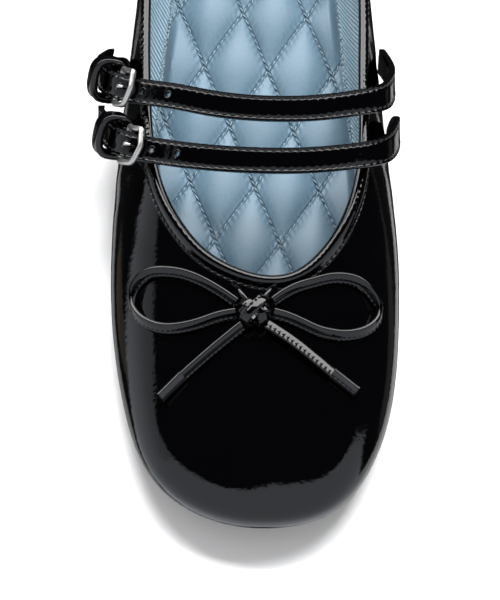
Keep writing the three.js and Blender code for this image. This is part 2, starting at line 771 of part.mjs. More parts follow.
// Each tail ends in a narrow tube round the last stretch of its route
const AGLET_ROWS = 5;
function makeTail(side) {
  const rows = BOW_STRINGS[`bow_tail_${side}`];
  makeString(`bow_tail_${side}`, rows.slice(0, -AGLET_ROWS));
  const [mouth, tip] = [rows.at(-AGLET_ROWS), rows.at(-1)].map(
    ({ x, y, z }) => new THREE.Vector3(x, y, z),
  );
  const heading = tip.clone().sub(mouth).normalize();
  const aglet = new THREE.CylinderGeometry(AGLET_WIDE / 2, AGLET_WIDE / 2, AGLET_LONG, 12);
  const turn = new THREE.Quaternion().setFromUnitVectors(new THREE.Vector3(0, 1, 0), heading);
  aglet.applyQuaternion(turn);
  const middle = tip.clone().addScaledVector(heading, -AGLET_LONG / 2);
  aglet.translate(middle.x, middle.y, middle.z);
  addPiece(`aglet_${side}`, aglet, AGLET_PLASTIC);
}

for (const side of ['outer', 'inner']) {
  makeString(`bow_loop_${side}`, BOW_STRINGS[`bow_loop_${side}`]);
  makeTail(side);
}

// The knot is a soft rounded lump where the four strings meet
function makeKnot() {
  const knot = new THREE.SphereGeometry(0.5, 16, 10);
  knot.scale(KNOT.wide, KNOT.deep, KNOT.tall);
  knot.translate(KNOT.x, KNOT.y, KNOT.z);
  addPiece('bow_knot', knot, PATENT);
}
makeKnot();

export default shoe;
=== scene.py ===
import math

import bpy
import numpy as np
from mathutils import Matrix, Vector


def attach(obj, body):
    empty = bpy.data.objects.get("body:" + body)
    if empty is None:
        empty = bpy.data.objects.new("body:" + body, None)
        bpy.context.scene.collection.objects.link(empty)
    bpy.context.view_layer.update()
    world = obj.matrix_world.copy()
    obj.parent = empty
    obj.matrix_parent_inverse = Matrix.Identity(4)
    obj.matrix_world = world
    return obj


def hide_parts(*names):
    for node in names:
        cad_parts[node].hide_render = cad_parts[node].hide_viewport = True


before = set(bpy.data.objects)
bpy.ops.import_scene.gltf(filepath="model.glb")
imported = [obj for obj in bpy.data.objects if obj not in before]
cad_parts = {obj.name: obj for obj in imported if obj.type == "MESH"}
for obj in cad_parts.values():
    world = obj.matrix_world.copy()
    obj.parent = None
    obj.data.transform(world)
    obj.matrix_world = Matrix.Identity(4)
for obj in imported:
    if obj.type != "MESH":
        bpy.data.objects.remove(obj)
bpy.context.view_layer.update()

# ----------------------------------------------------------
# Camera: in front of the toe and well above it, on a long lens some way off, so that the
# shoe's lines hardly converge. The heel runs out of the view.
MM = 0.001
VIEW_ELEVATION = math.radians(57.5)
VIEW_DISTANCE = 1.3
VAMP_CENTRE = Vector((0.0, -0.134, 0.020))
AIM_LEFT = 1.52 * MM  # the view's middle is this far to the left of the vamp's centre
AIM_BELOW = 9.15 * MM  # and this far below it, measured across the view
SENSOR_WIDE = 36  # millimetres, as is the lens
LENS = 255.8


def add_object(name, data):
    """Puts a mesh, a lamp or a camera into the scene as an object."""
    made = bpy.data.objects.new(name, data)
    bpy.context.scene.collection.objects.link(made)
    return made


to_camera = Vector((0, -math.cos(VIEW_ELEVATION), math.sin(VIEW_ELEVATION)))
view_up = Vector((0, math.sin(VIEW_ELEVATION), math.cos(VIEW_ELEVATION)))
camera_data = bpy.data.cameras.new("studio_camera")
camera_data.sensor_width = SENSOR_WIDE
camera_data.lens = LENS
camera_data.clip_end = 20
camera = add_object("studio_camera", camera_data)
camera.location = VAMP_CENTRE + to_camera * VIEW_DISTANCE - view_up * AIM_BELOW
camera.location.x -= AIM_LEFT
camera.rotation_euler = (math.pi / 2 - VIEW_ELEVATION, 0, 0)
bpy.context.scene.camera = camera

# ----------------------------------------------------------
# Drawstring bow: a flat string of folded patent, its raw edges sewn together along one side.
# It comes out of the collar's casing, is tied by hand and lies on the vamp on its edge.


class Signal:
    """A socket of a material's nodes. Sums on it add Math nodes, and node() adds any other."""

    def __init__(self, tree, socket=None):
        self.tree = tree
        self.socket = socket

    def node(self, kind, settings=None, inputs=None, output=0):
        """A node of a kind, with its settings and then its sockets' values or links."""
        made = self.tree.nodes.new(kind)
        for key, value in (settings or {}).items():
            setattr(made, key, value)
        for key, value in (inputs or {}).items():
            if isinstance(value, Signal):
                self.tree.links.new(value.socket, made.inputs[key])
            else:
                made.inputs[key].default_value = value
        return Signal(self.tree, made.outputs[output]) if made.outputs else None

    def math(self, operation, *values):
        return self.node("ShaderNodeMath", {"operation": operation}, dict(enumerate(values)))

    def __add__(self, other):
        return self.math("ADD", self, other)

    def __sub__(self, other):
        return self.math("SUBTRACT", self, other)

    def __rsub__(self, other):
        return self.math("SUBTRACT", other, self)

    def __mul__(self, other):
        return self.math("MULTIPLY", self, other)

    __radd__ = __add__
    __rmul__ = __mul__

    def wave(self, pitch, shift=None):
        """A sine from -1 to 1 that goes once up and down for each pitch of the signal."""
        phase = self * (2 * math.pi / pitch)
        return self.math("SINE", phase + shift if shift else phase)

    def step(self, low, high):
        """0 at low, 1 at high, and smooth between them."""
        limits = {"Value": self, "From Min": low, "From Max": high}
        return self.node("ShaderNodeMapRange", {"interpolation_type": "SMOOTHSTEP"}, limits)

    def tint(self, colour, other):
        """colour where the mask is 0 and other where it is 1."""
        pair = {0: self, 6: colour, 7: other}
        return self.node("ShaderNodeMix", {"data_type": "RGBA"}, pair, output=2)

    def place(self):
        """Where a point of the shoe is, in metres."""
        return self.node("ShaderNodeTexCoord", output=3)

    def axes(self, where=None):
        """The x, y and z of a point of the shoe, or of another vector."""
        split = self.node("ShaderNodeSeparateXYZ", {}, {"Vector": where or self.place()})
        return [Signal(self.tree, socket) for socket in split.socket.node.outputs]

    def grain(self, size, detail=2.0):
        """Cloudy noise from 0 to 1, its lumps about size metres across."""
        inputs = {"Vector": self.place(), "Scale": 1 / size, "Detail": detail}
        return self.node("ShaderNodeTexNoise", {}, inputs)

    def relief(self, height, depth, below=None):
        """A bump for a height from 0 to 1 that stands for depth metres, over another bump."""
        inputs = {"Height": height, "Distance": depth, "Strength": 1.0}
        if below:
            inputs["Normal"] = below
        return self.node("ShaderNodeBump", {}, inputs)


def new_finish(name):
    """An empty material, with the signal that its nodes start from."""
    material = bpy.data.materials.new(name)
    material.use_nodes = True
    material.node_tree.nodes.clear()
    return material, Signal(material.node_tree)


def close_finish(start, **sockets):
    """Adds the surface shader, its socket names written with _ for a space."""
    inputs = {name.replace("_", " "): value for name, value in sockets.items()}
    surface = start.node("ShaderNodeBsdfPrincipled", {}, inputs)
    start.node("ShaderNodeOutputMaterial", {}, {"Surface": surface})


def make_patent(name, peel, smudge=0.03, gloss=1.5):
    """Black patent: a film poured over leather, with a faint orange peel peel metres deep."""
    material, start = new_finish(name)
    ripple = start.relief(start.grain(9 * MM, 1.0), 60e-6)
    skin = start.relief(start.grain(1.4 * MM, 4.0), peel * 3, ripple)
    wear = start.grain(16 * MM, 4.0)
    dust = start.grain(0.35 * MM, 1.0).step(0.72, 0.80)
    close_finish(
        start,
        Base_Color=(wear * 0.6 + dust * 0.4).tint((0.0002, 0.0002, 0.0004, 1), (0.0008, 0.0008, 0.0011, 1)),
        Roughness=wear * smudge + dust * 0.1 + 0.03,
        Normal=skin,
        IOR=gloss,
    )
    return material


def smooth_curve(points, closed=False, measured=3):
    """A function for places on a smooth curve through points, and the places of the points.
    Only the first measured columns count for how far apart the points are."""
    points = np.asarray(points, float)
    if closed:
        points = np.vstack([points, points[:1]])
    steps = np.sqrt(np.linalg.norm(np.diff(points, axis=0)[:, :measured], axis=1))
    knots = np.concatenate([[0], np.cumsum(steps)])
    slopes = np.diff(points, axis=0) / steps[:, None]
    system = np.zeros((len(points), len(points)))
    turns = np.zeros_like(points)
    for i in range(1, len(points) - 1):
        system[i, i - 1 : i + 2] = steps[i - 1], 2 * (steps[i - 1] + steps[i]), steps[i]
        turns[i] = 6 * (slopes[i] - slopes[i - 1])
    if closed:
        system[0, 0], system[0, -1] = 1, -1
        system[-1, :2] = 2 * steps[0], steps[0]
        system[-1, -2:] = steps[-1], 2 * steps[-1]
        turns[-1] = 6 * (slopes[0] - slopes[-1])
    else:
        system[0, 0] = system[-1, -1] = 1
    bend = np.linalg.solve(system, turns)

    def at(places):
        i = np.clip(np.searchsorted(knots, places, side="right") - 1, 0, len(steps) - 1)
        gap = steps[i][:, None]
        after = (np.asarray(places) - knots[i])[:, None] / gap
        before = 1 - after
        arc = (before**3 - before) * bend[i] + (after**3 - after) * bend[i + 1]
        return before * points[i] + after * points[i + 1] + arc * gap * gap / 6

    return at, knots


def run_along(line):
    """How far along a line each of its points is."""
    return np.concatenate([[0], np.cumsum(np.linalg.norm(np.diff(line, axis=0), axis=1))])


def even_line(points, spacing):
    """Points about spacing apart along the smooth curve through given ones."""
    at, knots = smooth_curve(points)
    fine = at(np.linspace(0, knots[-1], 60 * len(points)))
    run = run_along(fine)
    targets = np.linspace(0, run[-1], round(run[-1] / spacing) + 1)
    return np.column_stack([np.interp(targets, run, fine[:, axis]) for axis in range(3)])


def unit(vectors):
    """The vectors, each made 1 long."""
    return vectors / np.linalg.norm(vectors, axis=-1, keepdims=True)


def directions(line, reference, closed=False):
    """Along a line, across it as near to reference as it can be, and out of that ribbon."""
    if closed:
        along = unit(np.roll(line, -1, axis=0) - np.roll(line, 1, axis=0))
    else:
        along = unit(np.gradient(line, axis=0))
    reference = np.broadcast_to(np.asarray(reference, float), line.shape)
    across = unit(reference - np.sum(reference * along, axis=1)[:, None] * along)
    return along, across, np.cross(across, along)


def circle(count):
    """Cosine and sine of each of count equal steps round a circle."""
    turn = np.linspace(0, 2 * math.pi, count, endpoint=False)
    return np.stack([np.cos(turn), np.sin(turn)], axis=-1)


def sweep(line, across, outward, section):
    """Rings of a section (across, outward) set up along a line. The section may vary."""
    section = np.broadcast_to(section, (len(line), *np.shape(section)[-2:]))
    sides = section[..., :1] * across[:, None]
    return line[:, None] + sides + section[..., 1:] * outward[:, None]


def skin_rings(rings, closed=False):
    """The points and faces of a solid over rings of points, with flat ends if it isn't closed."""
    count, around = rings.shape[:2]
    low = np.arange(count if closed else count - 1)[:, None] * around
    high = (low + around) % (count * around)
    i = np.arange(around)[None, :]
    j = (i + 1) % around
    quads = np.stack([low + i, low + j, high + j, high + i], axis=-1).reshape(-1, 4)
    faces = [tuple(quad) for quad in quads.tolist()]
    if not closed:
        faces.append(tuple(range(around - 1, -1, -1)))
        faces.append(tuple(range((count - 1) * around, count * around)))
    return rings.reshape(-1, 3), faces


def faces_outward(points, faces):
    """The faces, all turned round where the solid they close is inside out."""
    triangles = np.array([(f[0], f[k], f[k + 1]) for f in faces for k in range(1, len(f) - 1)])
    a, b, c = (points[triangles[:, k]] for k in range(3))
    volume = np.sum(a * np.cross(b, c))
    return faces if volume > 0 else [face[::-1] for face in faces]


def make_piece(name, parts, finish, replaced=(), sharp=48):
    """One object from closed parts, each its points in millimetres and its faces."""
    points, faces = [], []
    for part_points, part_faces in parts:
        first = sum(len(p) for p in points)
        turned = faces_outward(part_points, part_faces)
        faces += [tuple(corner + first for corner in face) for face in turned]
        points.append(part_points)
    mesh = bpy.data.meshes.new(name)
    mesh.from_pydata((np.vstack(points) * MM).tolist(), [], faces)
    mesh.materials.append(finish)
    mesh.shade_smooth()
    mesh.set_sharp_from_angle(angle=math.radians(sharp))
    piece = add_object(name, mesh)
    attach(piece, "root")
    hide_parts(*replaced)
    return piece


BOW_STRINGS = {
    # how far the string leans back from upright in degrees, and its route
    "bow_loop_outer": (32, [
        (-5.6, -156, 36.2), (-8.5, -153.7, 36.5), (-12.5, -150.8, 36.6), (-17, -148, 36.6),
        (-22, -145.8, 36.4), (-27, -144.5, 35.6), (-32, -144, 33.9), (-35.8, -145.9, 31.2),
        (-37.6, -150.2, 29), (-35.8, -155.8, 29.2), (-32.3, -159.8, 30.6), (-27.5, -162.4, 32),
        (-21.5, -162.7, 33.2), (-16, -161.6, 34.1), (-10.8, -160, 34.9), (-5.8, -159.2, 35.4),
    ]),
    "bow_loop_inner": (32, [
        (5.4, -155.6, 36.2), (8.5, -153.2, 36.5), (13, -150.6, 36.6), (18, -148.8, 36.5),
        (22.5, -147.4, 36.3), (27, -147, 35.8), (31.8, -147.9, 34.4), (35.6, -150.9, 31.8),
        (37.6, -155, 29.6), (36, -159.6, 29.8), (31.7, -163.4, 31.1), (26.8, -165, 32.2),
        (23, -165, 32.9), (19, -164.2, 33.5), (14.3, -162.2, 34.3), (9.5, -160.2, 35),
        (5.6, -159.2, 35.5),
    ]),
    "bow_tail_outer": (30, [
        (-3.9, -163.4, 35), (-5.5, -164.6, 34.7), (-7.2, -166, 34.3), (-9, -167.5, 33.9),
        (-10.8, -169, 33.5), (-12.6, -170.5, 33.1), (-14.4, -172.1, 32.7), (-16.2, -173.7, 32.3),
        (-17.9, -175.2, 31.9), (-19.6, -176.7, 31.4), (-21.3, -178.2, 30.9), (-23, -179.8, 30.3),
        (-24.7, -181.4, 29.7), (-26.4, -183, 29.1), (-28.1, -184.6, 28.5),
    ]),
    "bow_tail_inner": (97, [
        (3.6, -163, 35.1), (5.4, -164.1, 34.8), (7.3, -165.3, 34.4), (9.2, -166.6, 34.1),
        (11.1, -168, 33.8), (13, -169.5, 33.5), (14.9, -171.1, 33.2), (16.7, -172.6, 32.8),
        (18.5, -174.1, 32.4), (20.3, -175.6, 32), (22.2, -177.1, 31.4), (24.2, -178.6, 30.8),
        (26.2, -180, 30.1), (28.2, -181.4, 29.4), (30.2, -182.8, 28.7),
    ]),
}
STRING_WIDE = 3.3
STRING_THICK = 1.4
STRING_STEP = 0.2  # rings of the mesh are this far apart
STRING_STITCH = 1.6  # and the sewn edge's stitches this far
AGLET_LONG = 9.4
AGLET_WIDE = 3.9
AGLET_THICK = 2.4

string_patent = make_patent("string_patent", 6e-6)


def string_section(distance, pinch):
    """The folded string cut across: its fold at one side and its sewn raw edges at the other.
    The stitches pinch the middle of a stretch that was pulled flat."""
    hole = (0.5 + 0.5 * np.cos(2 * math.pi * distance / STRING_STITCH)) ** 3
    round_edge = STRING_THICK / 2
    fold = [
        (STRING_WIDE / 2 - round_edge * (1 - math.cos(turn)), round_edge * math.sin(turn), 0)
        for turn in np.radians(np.arange(0, 91, 22.5))
    ]
    sewn = [
        # across the string, out of its middle, and how deep each stitch pulls it in
        (0.3, 0.68, 0.02 * pinch), (-0.2, 0.64, 0.12 * pinch), (-0.65, 0.60, 0.03 + 0.18 * pinch),
        (-0.95, 0.46, 0.26), (-1.18, 0.54, 0.12), (-1.5, 0.52, -0.05), (-1.65, 0.34, -0.04),
    ]
    half = np.array(fold + sewn)
    section = np.zeros((len(distance), 2 * len(half) - 1, 2))
    section[:, : len(half), 0] = half[:, 0]
    section[:, : len(half), 1] = half[:, 1] - half[:, 2] * hole[:, None]
    section[:, len(half) - 1, 0] += 0.10 * hole
    section[:, len(half) :] = section[:, len(half) - 1 : 0 : -1] * (1, -1)
    return section


def string_part(points, lean):
    """A stretch of string along given points, its fold leaning back towards the heel."""
    line = even_line(points, STRING_STEP)
    tilt = math.radians(lean)
    _, wide, thick = directions(line, (0, math.sin(tilt), math.cos(tilt)))
    distance = np.arange(len(line)) * STRING_STEP
    section = string_section(distance, 1.0 if lean > 90 else 0.0)
    return line, skin_rings(sweep(line, wide, thick, section))


aglet_plastic, start = new_finish("aglet_plastic")
close_finish(
    start,
    Base_Color=start.grain(4 * MM, 3.0).tint((0.004, 0.004, 0.005, 1), (0.012, 0.012, 0.013, 1)),
    Roughness=start.grain(1.5 * MM, 2.0) * 0.12 + 0.10,
    Normal=start.relief(start.grain(0.8 * MM, 2.0), 12e-6),
)


def aglet_part(line):
    """A flattened tube round the string's end, crimped at its mouth and open at its tip."""
    stretch = line[-round(AGLET_LONG / STRING_STEP) :]
    share = np.linspace(0, 1, 30)
    middle = stretch[0] + share[:, None] * (stretch[-1] - stretch[0])
    _, wide, thick = directions(middle, (0, 0.4, 0.9))
    lip = 1 + 0.05 * np.exp(-((share * AGLET_LONG / 0.5) ** 2))
    lip = lip + 0.05 * np.exp(-(((1 - share) * AGLET_LONG / 0.5) ** 2))
    oval = circle(28) * (AGLET_WIDE / 2, AGLET_THICK / 2)
    outer = sweep(middle, wide, thick, oval * lip[:, None, None])
    bore = sweep(middle[::-1], wide, thick, oval * 0.86)
    return skin_rings(np.concatenate([outer, bore]), closed=True)


for name, (lean, route) in BOW_STRINGS.items():
    line, part = string_part(route, lean)
    string = make_piece(name, [part], string_patent, [name])
    length = float(run_along(line)[-1])
    facts = {
        "exit": line[0] * MM, "length": length * MM, "diameter": STRING_WIDE * MM, "stiffness": "limp",
        "path": line[::5] * MM,
    }
    if "loop" in name:
        continue
    aglet_name = name.replace("bow_tail", "aglet")
    aglet = make_piece(aglet_name, [aglet_part(line)], aglet_plastic, [aglet_name])

# The knot: the string wrapped round itself, with the two ends that come out of the casing
KNOT = np.array([-0.1, -159.0, 36.4])
KNOT_WRAPS = (
    # heading of the wrap from above in degrees, its half length, half height, shift up and aside
    (233, 5.0, 2.9, 0.9, 0.3),
    (312, 4.5, 2.5, 0.2, -0.6),
    (196, 4.2, 2.2, -0.4, 0.4),
)
WRAP_STITCHES = 18
CASING_ENDS = (
    [(-6.5, -149.6, 34.6), (-5.2, -152.2, 36.6), (-3.6, -155.2, 37.6), (-1.4, -158.2, 37)],
    [(6.4, -149.6, 34.6), (5.0, -152.2, 36.6), (3.2, -155.2, 37.6), (1.2, -158.2, 37)],
)


def wrap_part(heading, half_long, half_tall, up, aside):
    """One turn of the string round the knot, its width lying across the way it heads."""
    heading = math.radians(heading)
    forward = np.array([math.cos(heading), math.sin(heading), 0])
    sideways = np.array([-math.sin(heading), math.cos(heading), 0])
    angle = np.linspace(0, 2 * math.pi, 120, endpoint=False)
    wobble = 0.35 * np.sin(2 * angle + heading)
    line = KNOT + (0, 0, up) + (aside + wobble)[:, None] * sideways
    line = line + half_long * np.cos(angle)[:, None] * forward
    line[:, 2] += half_tall * np.sin(angle)
    _, wide, thick = directions(line, sideways, closed=True)
    distance = np.arange(len(line)) * STRING_STITCH * WRAP_STITCHES / len(line)
    return skin_rings(sweep(line, wide, thick, string_section(distance, 0.0)), closed=True)


knot_parts = [wrap_part(*wrap) for wrap in KNOT_WRAPS]
knot_parts += [string_part(points, 15)[1] for points in CASING_ENDS]
make_piece("bow_knot", knot_parts, string_patent, ["bow_knot"])

# ----------------------------------------------------------
# Outsole: a thin moulded rubber sole with a low arch and a little toe spring. Its edge is
# rounded below, with a bead round the top, and shallow chevron ribs are moulded underneath.
STATION_COLUMNS = "out_x out_y girth top_x top_y top_z rise lie reach".split()
UPPER_STATIONS = {
    # clockwise from above: widest line of the upper and its height above the sole, top edge,
    # how long the wall climbs straight up, the angle it reaches the top at and for how long
    "toe": (5.5, -220.2, 7, 3.6, -145.8, 35.5, 13, 13, 40),
    "toe_outer": (-13.5, -217.0, 7, -5.0, -143.6, 36.0, 13, 14, 38),
    "corner_outer": (-30.2, -203.4, 7.5, -14.6, -138.0, 37.0, 13, 16, 34),
    "vamp_outer": (-39.2, -179.0, 8, -22.8, -128.2, 38.6, 13, 20, 26),
    "ball_outer": (-43.4, -150.0, 9, -28.8, -115.6, 40.4, 12, 30, 18),
    "throat_outer": (-44.1, -122.0, 9.5, -31.8, -101.0, 42.4, 12, 48, 13),
    "waist_outer": (-42.6, -92.0, 9.5, -33.2, -80.0, 44.6, 11, 64, 11),
    "arch_outer": (-39.4, -58.0, 9.5, -33.5, -54.0, 46.2, 11, 72, 11),
    "quarter_outer": (-36.2, -26.0, 9.5, -32.6, -25.0, 47.4, 11, 76, 11),
    "heel_outer": (-32.0, 4.0, 9.5, -28.4, 2.0, 49.6, 12, 78, 12),
    "counter_outer": (-21.4, 22.4, 9.5, -18.0, 18.0, 52.6, 13, 80, 13),
    "back": (0, 29.8, 9.5, 0, 24.4, 54.6, 14, 82, 14),
    "counter_inner": (21.4, 22.4, 9.5, 18.0, 18.0, 52.6, 13, 80, 13),
    "heel_inner": (32.0, 4.0, 9.5, 28.4, 2.0, 49.6, 12, 78, 12),
    "quarter_inner": (35.8, -26.0, 9.5, 32.6, -25.0, 47.4, 11, 76, 11),
    "arch_inner": (38.4, -58.0, 9.5, 33.4, -54.0, 46.2, 11, 72, 11),
    "waist_inner": (41.6, -92.0, 9.5, 33.0, -80.0, 44.6, 11, 64, 11),
    "throat_inner": (44.0, -124.0, 9.5, 32.8, -101.0, 42.4, 12, 48, 13),
    "ball_inner": (43.8, -150.0, 9, 30.8, -115.6, 40.2, 12, 30, 18),
    "vamp_inner": (41.4, -176.0, 8, 26.4, -128.0, 38.4, 13, 20, 26),
    "corner_inner": (34.8, -198.6, 7.5, 19.8, -138.0, 36.6, 13, 16, 34),
    "toe_inner": (23.2, -214.4, 7, 12.0, -144.4, 35.7, 13, 14, 38),
}
RIBS = 20 * len(UPPER_STATIONS)  # lines up the wall, an even number between stations
GAP = 0.3
OUTSOLE_THICK = 2.8
HEEL_SEAT = 11
HEEL_BREAST = -26
BALL_BACK = -112
BALL_FRONT = -158
TOE_TIP = -220
TOE_SPRING = 6
SOLE_PROFILE = (
    # inset from the upper's widest line, height above the sole's top
    (5.9, -2.8), (5.2, -2.65), (4.7, -2.25), (4.4, -1.7), (4.4, -0.9), (4.55, -0.7),
    (4.4, -0.5), (4.4, 0),
)


def seat_height(y):
    """Top of the outsole: level heel seat, arch, level tread and toe spring."""
    climb = np.clip((y - BALL_BACK) / (HEEL_BREAST - BALL_BACK), 0, 1)
    arch = (HEEL_SEAT - OUTSOLE_THICK) * climb * climb * (3 - 2 * climb)
    forward = np.maximum(BALL_FRONT - y, 0) / (BALL_FRONT - TOE_TIP)
    return OUTSOLE_THICK + arch + TOE_SPRING * forward**2


station_curve, station_places = smooth_curve(list(UPPER_STATIONS.values()), True, measured=6)
rib_places = np.interp(
    np.linspace(0, len(UPPER_STATIONS), RIBS, endpoint=False),
    np.arange(len(station_places)),
    station_places,
)
rib = dict(zip(STATION_COLUMNS, station_curve(rib_places).T))
outline = np.stack([rib["out_x"], rib["out_y"]], axis=-1)
heading = np.roll(outline, -1, axis=0) - np.roll(outline, 1, axis=0)
inward = unit(np.stack([heading[:, 1], -heading[:, 0], np.zeros(RIBS)], axis=-1))
widest = np.column_stack([outline, seat_height(rib["out_y"]) + GAP + rib["girth"]])


def underfoot(inset, lift):
    """The outline moved in by inset, at a lift above the outsole's top."""
    ring = widest + inward * np.reshape(inset, (-1, 1))
    ring[:, 2] = seat_height(ring[:, 1]) + lift
    return ring


def towards_middle(ring, share):
    """A ring drawn in towards the line down its middle, where its two sides meet at share 1."""
    partner = ring[-np.arange(RIBS) % RIBS]
    return ring + share * (partner - ring) / 2


def weld(points, faces):
    """Joins the points that lie in one place, and drops the faces that this flattens."""
    _, first, index = np.unique(np.round(points, 4), axis=0, return_index=True, return_inverse=True)
    index = index.reshape(-1)
    faces = [tuple(dict.fromkeys(index[list(face)].tolist())) for face in faces]
    return points[first], [face for face in faces if len(face) > 2]


sole_rubber, start = new_finish("sole_rubber")
x, y, _ = start.axes()
tread = (y + start.math("ABSOLUTE", x) * 0.5).wave(2.8 * MM).step(-0.2, 0.35)
grit = start.relief(start.grain(0.5 * MM, 3.0), 0.05 * MM, start.relief(tread, 0.25 * MM))
close_finish(
    start,
    Base_Color=start.grain(14 * MM, 4.0).tint((0.010, 0.010, 0.011, 1), (0.022, 0.021, 0.021, 1)),
    Roughness=start.grain(3 * MM, 3.0) * 0.25 + 0.5,
    Normal=grit,
)

edge_rings = [underfoot(inset, lift) for inset, lift in SOLE_PROFILE]
shares = np.linspace(1, 0, 9)[:-1]
sole_rings = [towards_middle(edge_rings[0], share) for share in shares]
sole_rings += edge_rings
sole_rings += [towards_middle(edge_rings[-1], share) for share in shares[::-1]]
sole_points, sole_faces = skin_rings(np.array(sole_rings))
sole_part = weld(sole_points, sole_faces[:-2])  # the first and last ring are folded shut
make_piece("rubber_outsole", [sole_part], sole_rubber, ["outsole"])

# ----------------------------------------------------------
# Heel: a low D-shaped block of moulded rubber with a thin top lift under it, glued and nailed
# to the sole. Its front face is a little hollow.
HEEL_LEVELS = (
    # inset from the upper's widest line, height above the floor
    (5.7, 0.0), (5.3, 0.3), (5.1, 0.8), (5.1, 2.1), (5.5, 2.3), (5.1, 2.5), (4.9, 5.0), (4.6, 7.9),
)
BREAST_HOLLOW = 2.5
BREAST_LEAN = 0.25

behind = np.flatnonzero(widest[:, 1] > HEEL_BREAST)


def heel_ring(inset, height):
    """The heel's outline at a height: round the back, and hollow across its front."""
    side = (widest + inward * inset)[behind]
    share = np.linspace(0, 1, 32)[1:-1, None]
    breast = side[-1] + share * (side[0] - side[-1])
    breast[:, 1:2] += BREAST_HOLLOW * np.sin(share * math.pi)
    breast[:, 1] += BREAST_LEAN * (inset - HEEL_LEVELS[-1][0])
    ring = np.vstack([side, breast])
    ring[:, 2] = height
    return ring


heel_part = skin_rings(np.array([heel_ring(*level) for level in HEEL_LEVELS]))
make_piece("heel_block", [heel_part], sole_rubber, ["heel"], sharp=30)

# ----------------------------------------------------------
# Insole: a foam sock covered in pale blue satin, quilted in diamonds with a thicker thread and
# overlocked round its edge with satin thread. It lies loose on the turned-in upper.
WALL = 1.8
FEATHER_INSET = 4.2
UNDER_CASING = 2.0  # the wall ends this far below the top edge, inside the casing
WALL_STEPS = 56
TUCK_ROWS = 10  # rows of the upper's outer face below its widest line
SOCK_LIFT = 2.55  # its underside, above the outsole
SOCK_TOP = 6.15  # its top, beside the edge
SOCK_RIM = 2.4  # how far the edge curls up the wall
SOCK_CROWN = 1.0
CROWN_RUN = 3.0  # the padding reaches most of its height this far in
FILLER_INSET = 11.8
BORDER = 7.6  # width of the overlocked border
QUILT_RISE = 3.5  # how far each diamond puffs up between its seams
QUILT_NODE = np.array([-8.0, -76.0])  # where two seams cross
SEAM_FALLING = np.array([7.9, -21.1])  # from one crossing to the next along each seam
SEAM_RISING = np.array([-12.2, -19.3])
SEAM_DROP = 0.35  # how far the seams pull the padding down
QUILT_STITCH = 2.4
QUILT_THREAD = 0.42
STITCH_LONG = 2.0
STITCH_LIFT = 0.75
SOCK_PROFILE = (
    # measured in from the filler's edge or the lining: how far in, and the lift above the outsole
    ("filler", 0, GAP), ("filler", 0, SOCK_LIFT), ("wall", 1.4, SOCK_LIFT), ("wall", 0.7, SOCK_LIFT + 0.8),
    ("wall", 0.5, SOCK_LIFT + 1.8), ("wall", 0.5, SOCK_LIFT + 2.8), ("wall", 0.5, SOCK_TOP),
    ("wall", 0.55, SOCK_TOP + 1.5), ("wall", 0.9, SOCK_TOP + SOCK_RIM),
)

# Each rib climbs from the widest line to the top edge on one curve, bent by two handles
wall_start = np.column_stack([rib[c] for c in ("out_x", "out_y")] + [widest[:, 2]])
wall_top = np.column_stack([rib[c] for c in ("top_x", "top_y", "top_z")])
arrival = unit((wall_top - wall_start) * (1, 1, 0)) * np.cos(np.radians(rib["lie"]))[:, None]
arrival[:, 2] = np.sin(np.radians(rib["lie"]))
handles = [wall_start, wall_start + rib["rise"][:, None] * (0, 0, 1)]
handles += [wall_top - arrival * rib["reach"][:, None], wall_top]
t = np.linspace(0, 1, 97)[:, None, None]
weights = ((1 - t) ** 3, 3 * t * (1 - t) ** 2, 3 * t * t * (1 - t), t**3)
wall_lines = np.swapaxes(sum(w * h for w, h in zip(weights, handles)), 0, 1)
wall_steps = np.linalg.norm(np.diff(wall_lines, axis=1), axis=2)
wall_runs = np.concatenate([np.zeros((RIBS, 1)), np.cumsum(wall_steps, axis=1)], axis=1)
wall_length = wall_runs[:, -1]


def wall_at(run):
    """Points of every rib's wall, run millimetres up from the widest line."""
    run = np.broadcast_to(np.reshape(run, (-1, 1)), (RIBS, 1))[:, 0]
    return np.array([
        [np.interp(run[r], wall_runs[r], wall_lines[r, :, axis]) for axis in range(3)]
        for r in range(RIBS)
    ])


def outer_rows(end, steps):
    """The upper's outer face: turned-in margin, tuck under the feather edge, and the wall."""
    rows = [underfoot(FEATHER_INSET + margin, GAP) for margin in (7, 3, 0)]
    for angle in np.linspace(math.pi / 2, 0, 9)[1:-1]:
        row = widest + inward * FEATHER_INSET * (1 - math.cos(angle))
        floor = underfoot(FEATHER_INSET, GAP)[:, 2]
        row[:, 2] += (floor - widest[:, 2]) * math.sin(angle)
        rows.append(row)
    rows += [wall_at(end * share**1.25) for share in np.linspace(0, 1, steps)]
    return np.stack(rows, axis=1)


def face_normals(grid):
    """Outward normals of a grid whose rows run up the wall at each rib."""
    around = np.roll(grid, -1, axis=0) - np.roll(grid, 1, axis=0)
    climb = np.gradient(grid, axis=1)
    return unit(np.cross(climb, around))


shell = outer_rows(wall_length - UNDER_CASING, WALL_STEPS)
shell_out = face_normals(shell)
inside = shell - WALL * shell_out


def inside_inset(lift):
    """How far in from the widest line the lining's face is, at a lift above the outsole."""
    above = inside[:, :, 2] - seat_height(inside[:, :, 1])
    reach = np.sum((inside - widest[:, None]) * inward[:, None], axis=2)
    wall = slice(TUCK_ROWS, None)
    return np.array([np.interp(lift, above[r, wall], reach[r, wall]) for r in range(RIBS)])


def stitches_between(seam):
    """How many stitches a seam has from one crossing to the next."""
    return round(float(np.linalg.norm(seam)) / QUILT_STITCH)


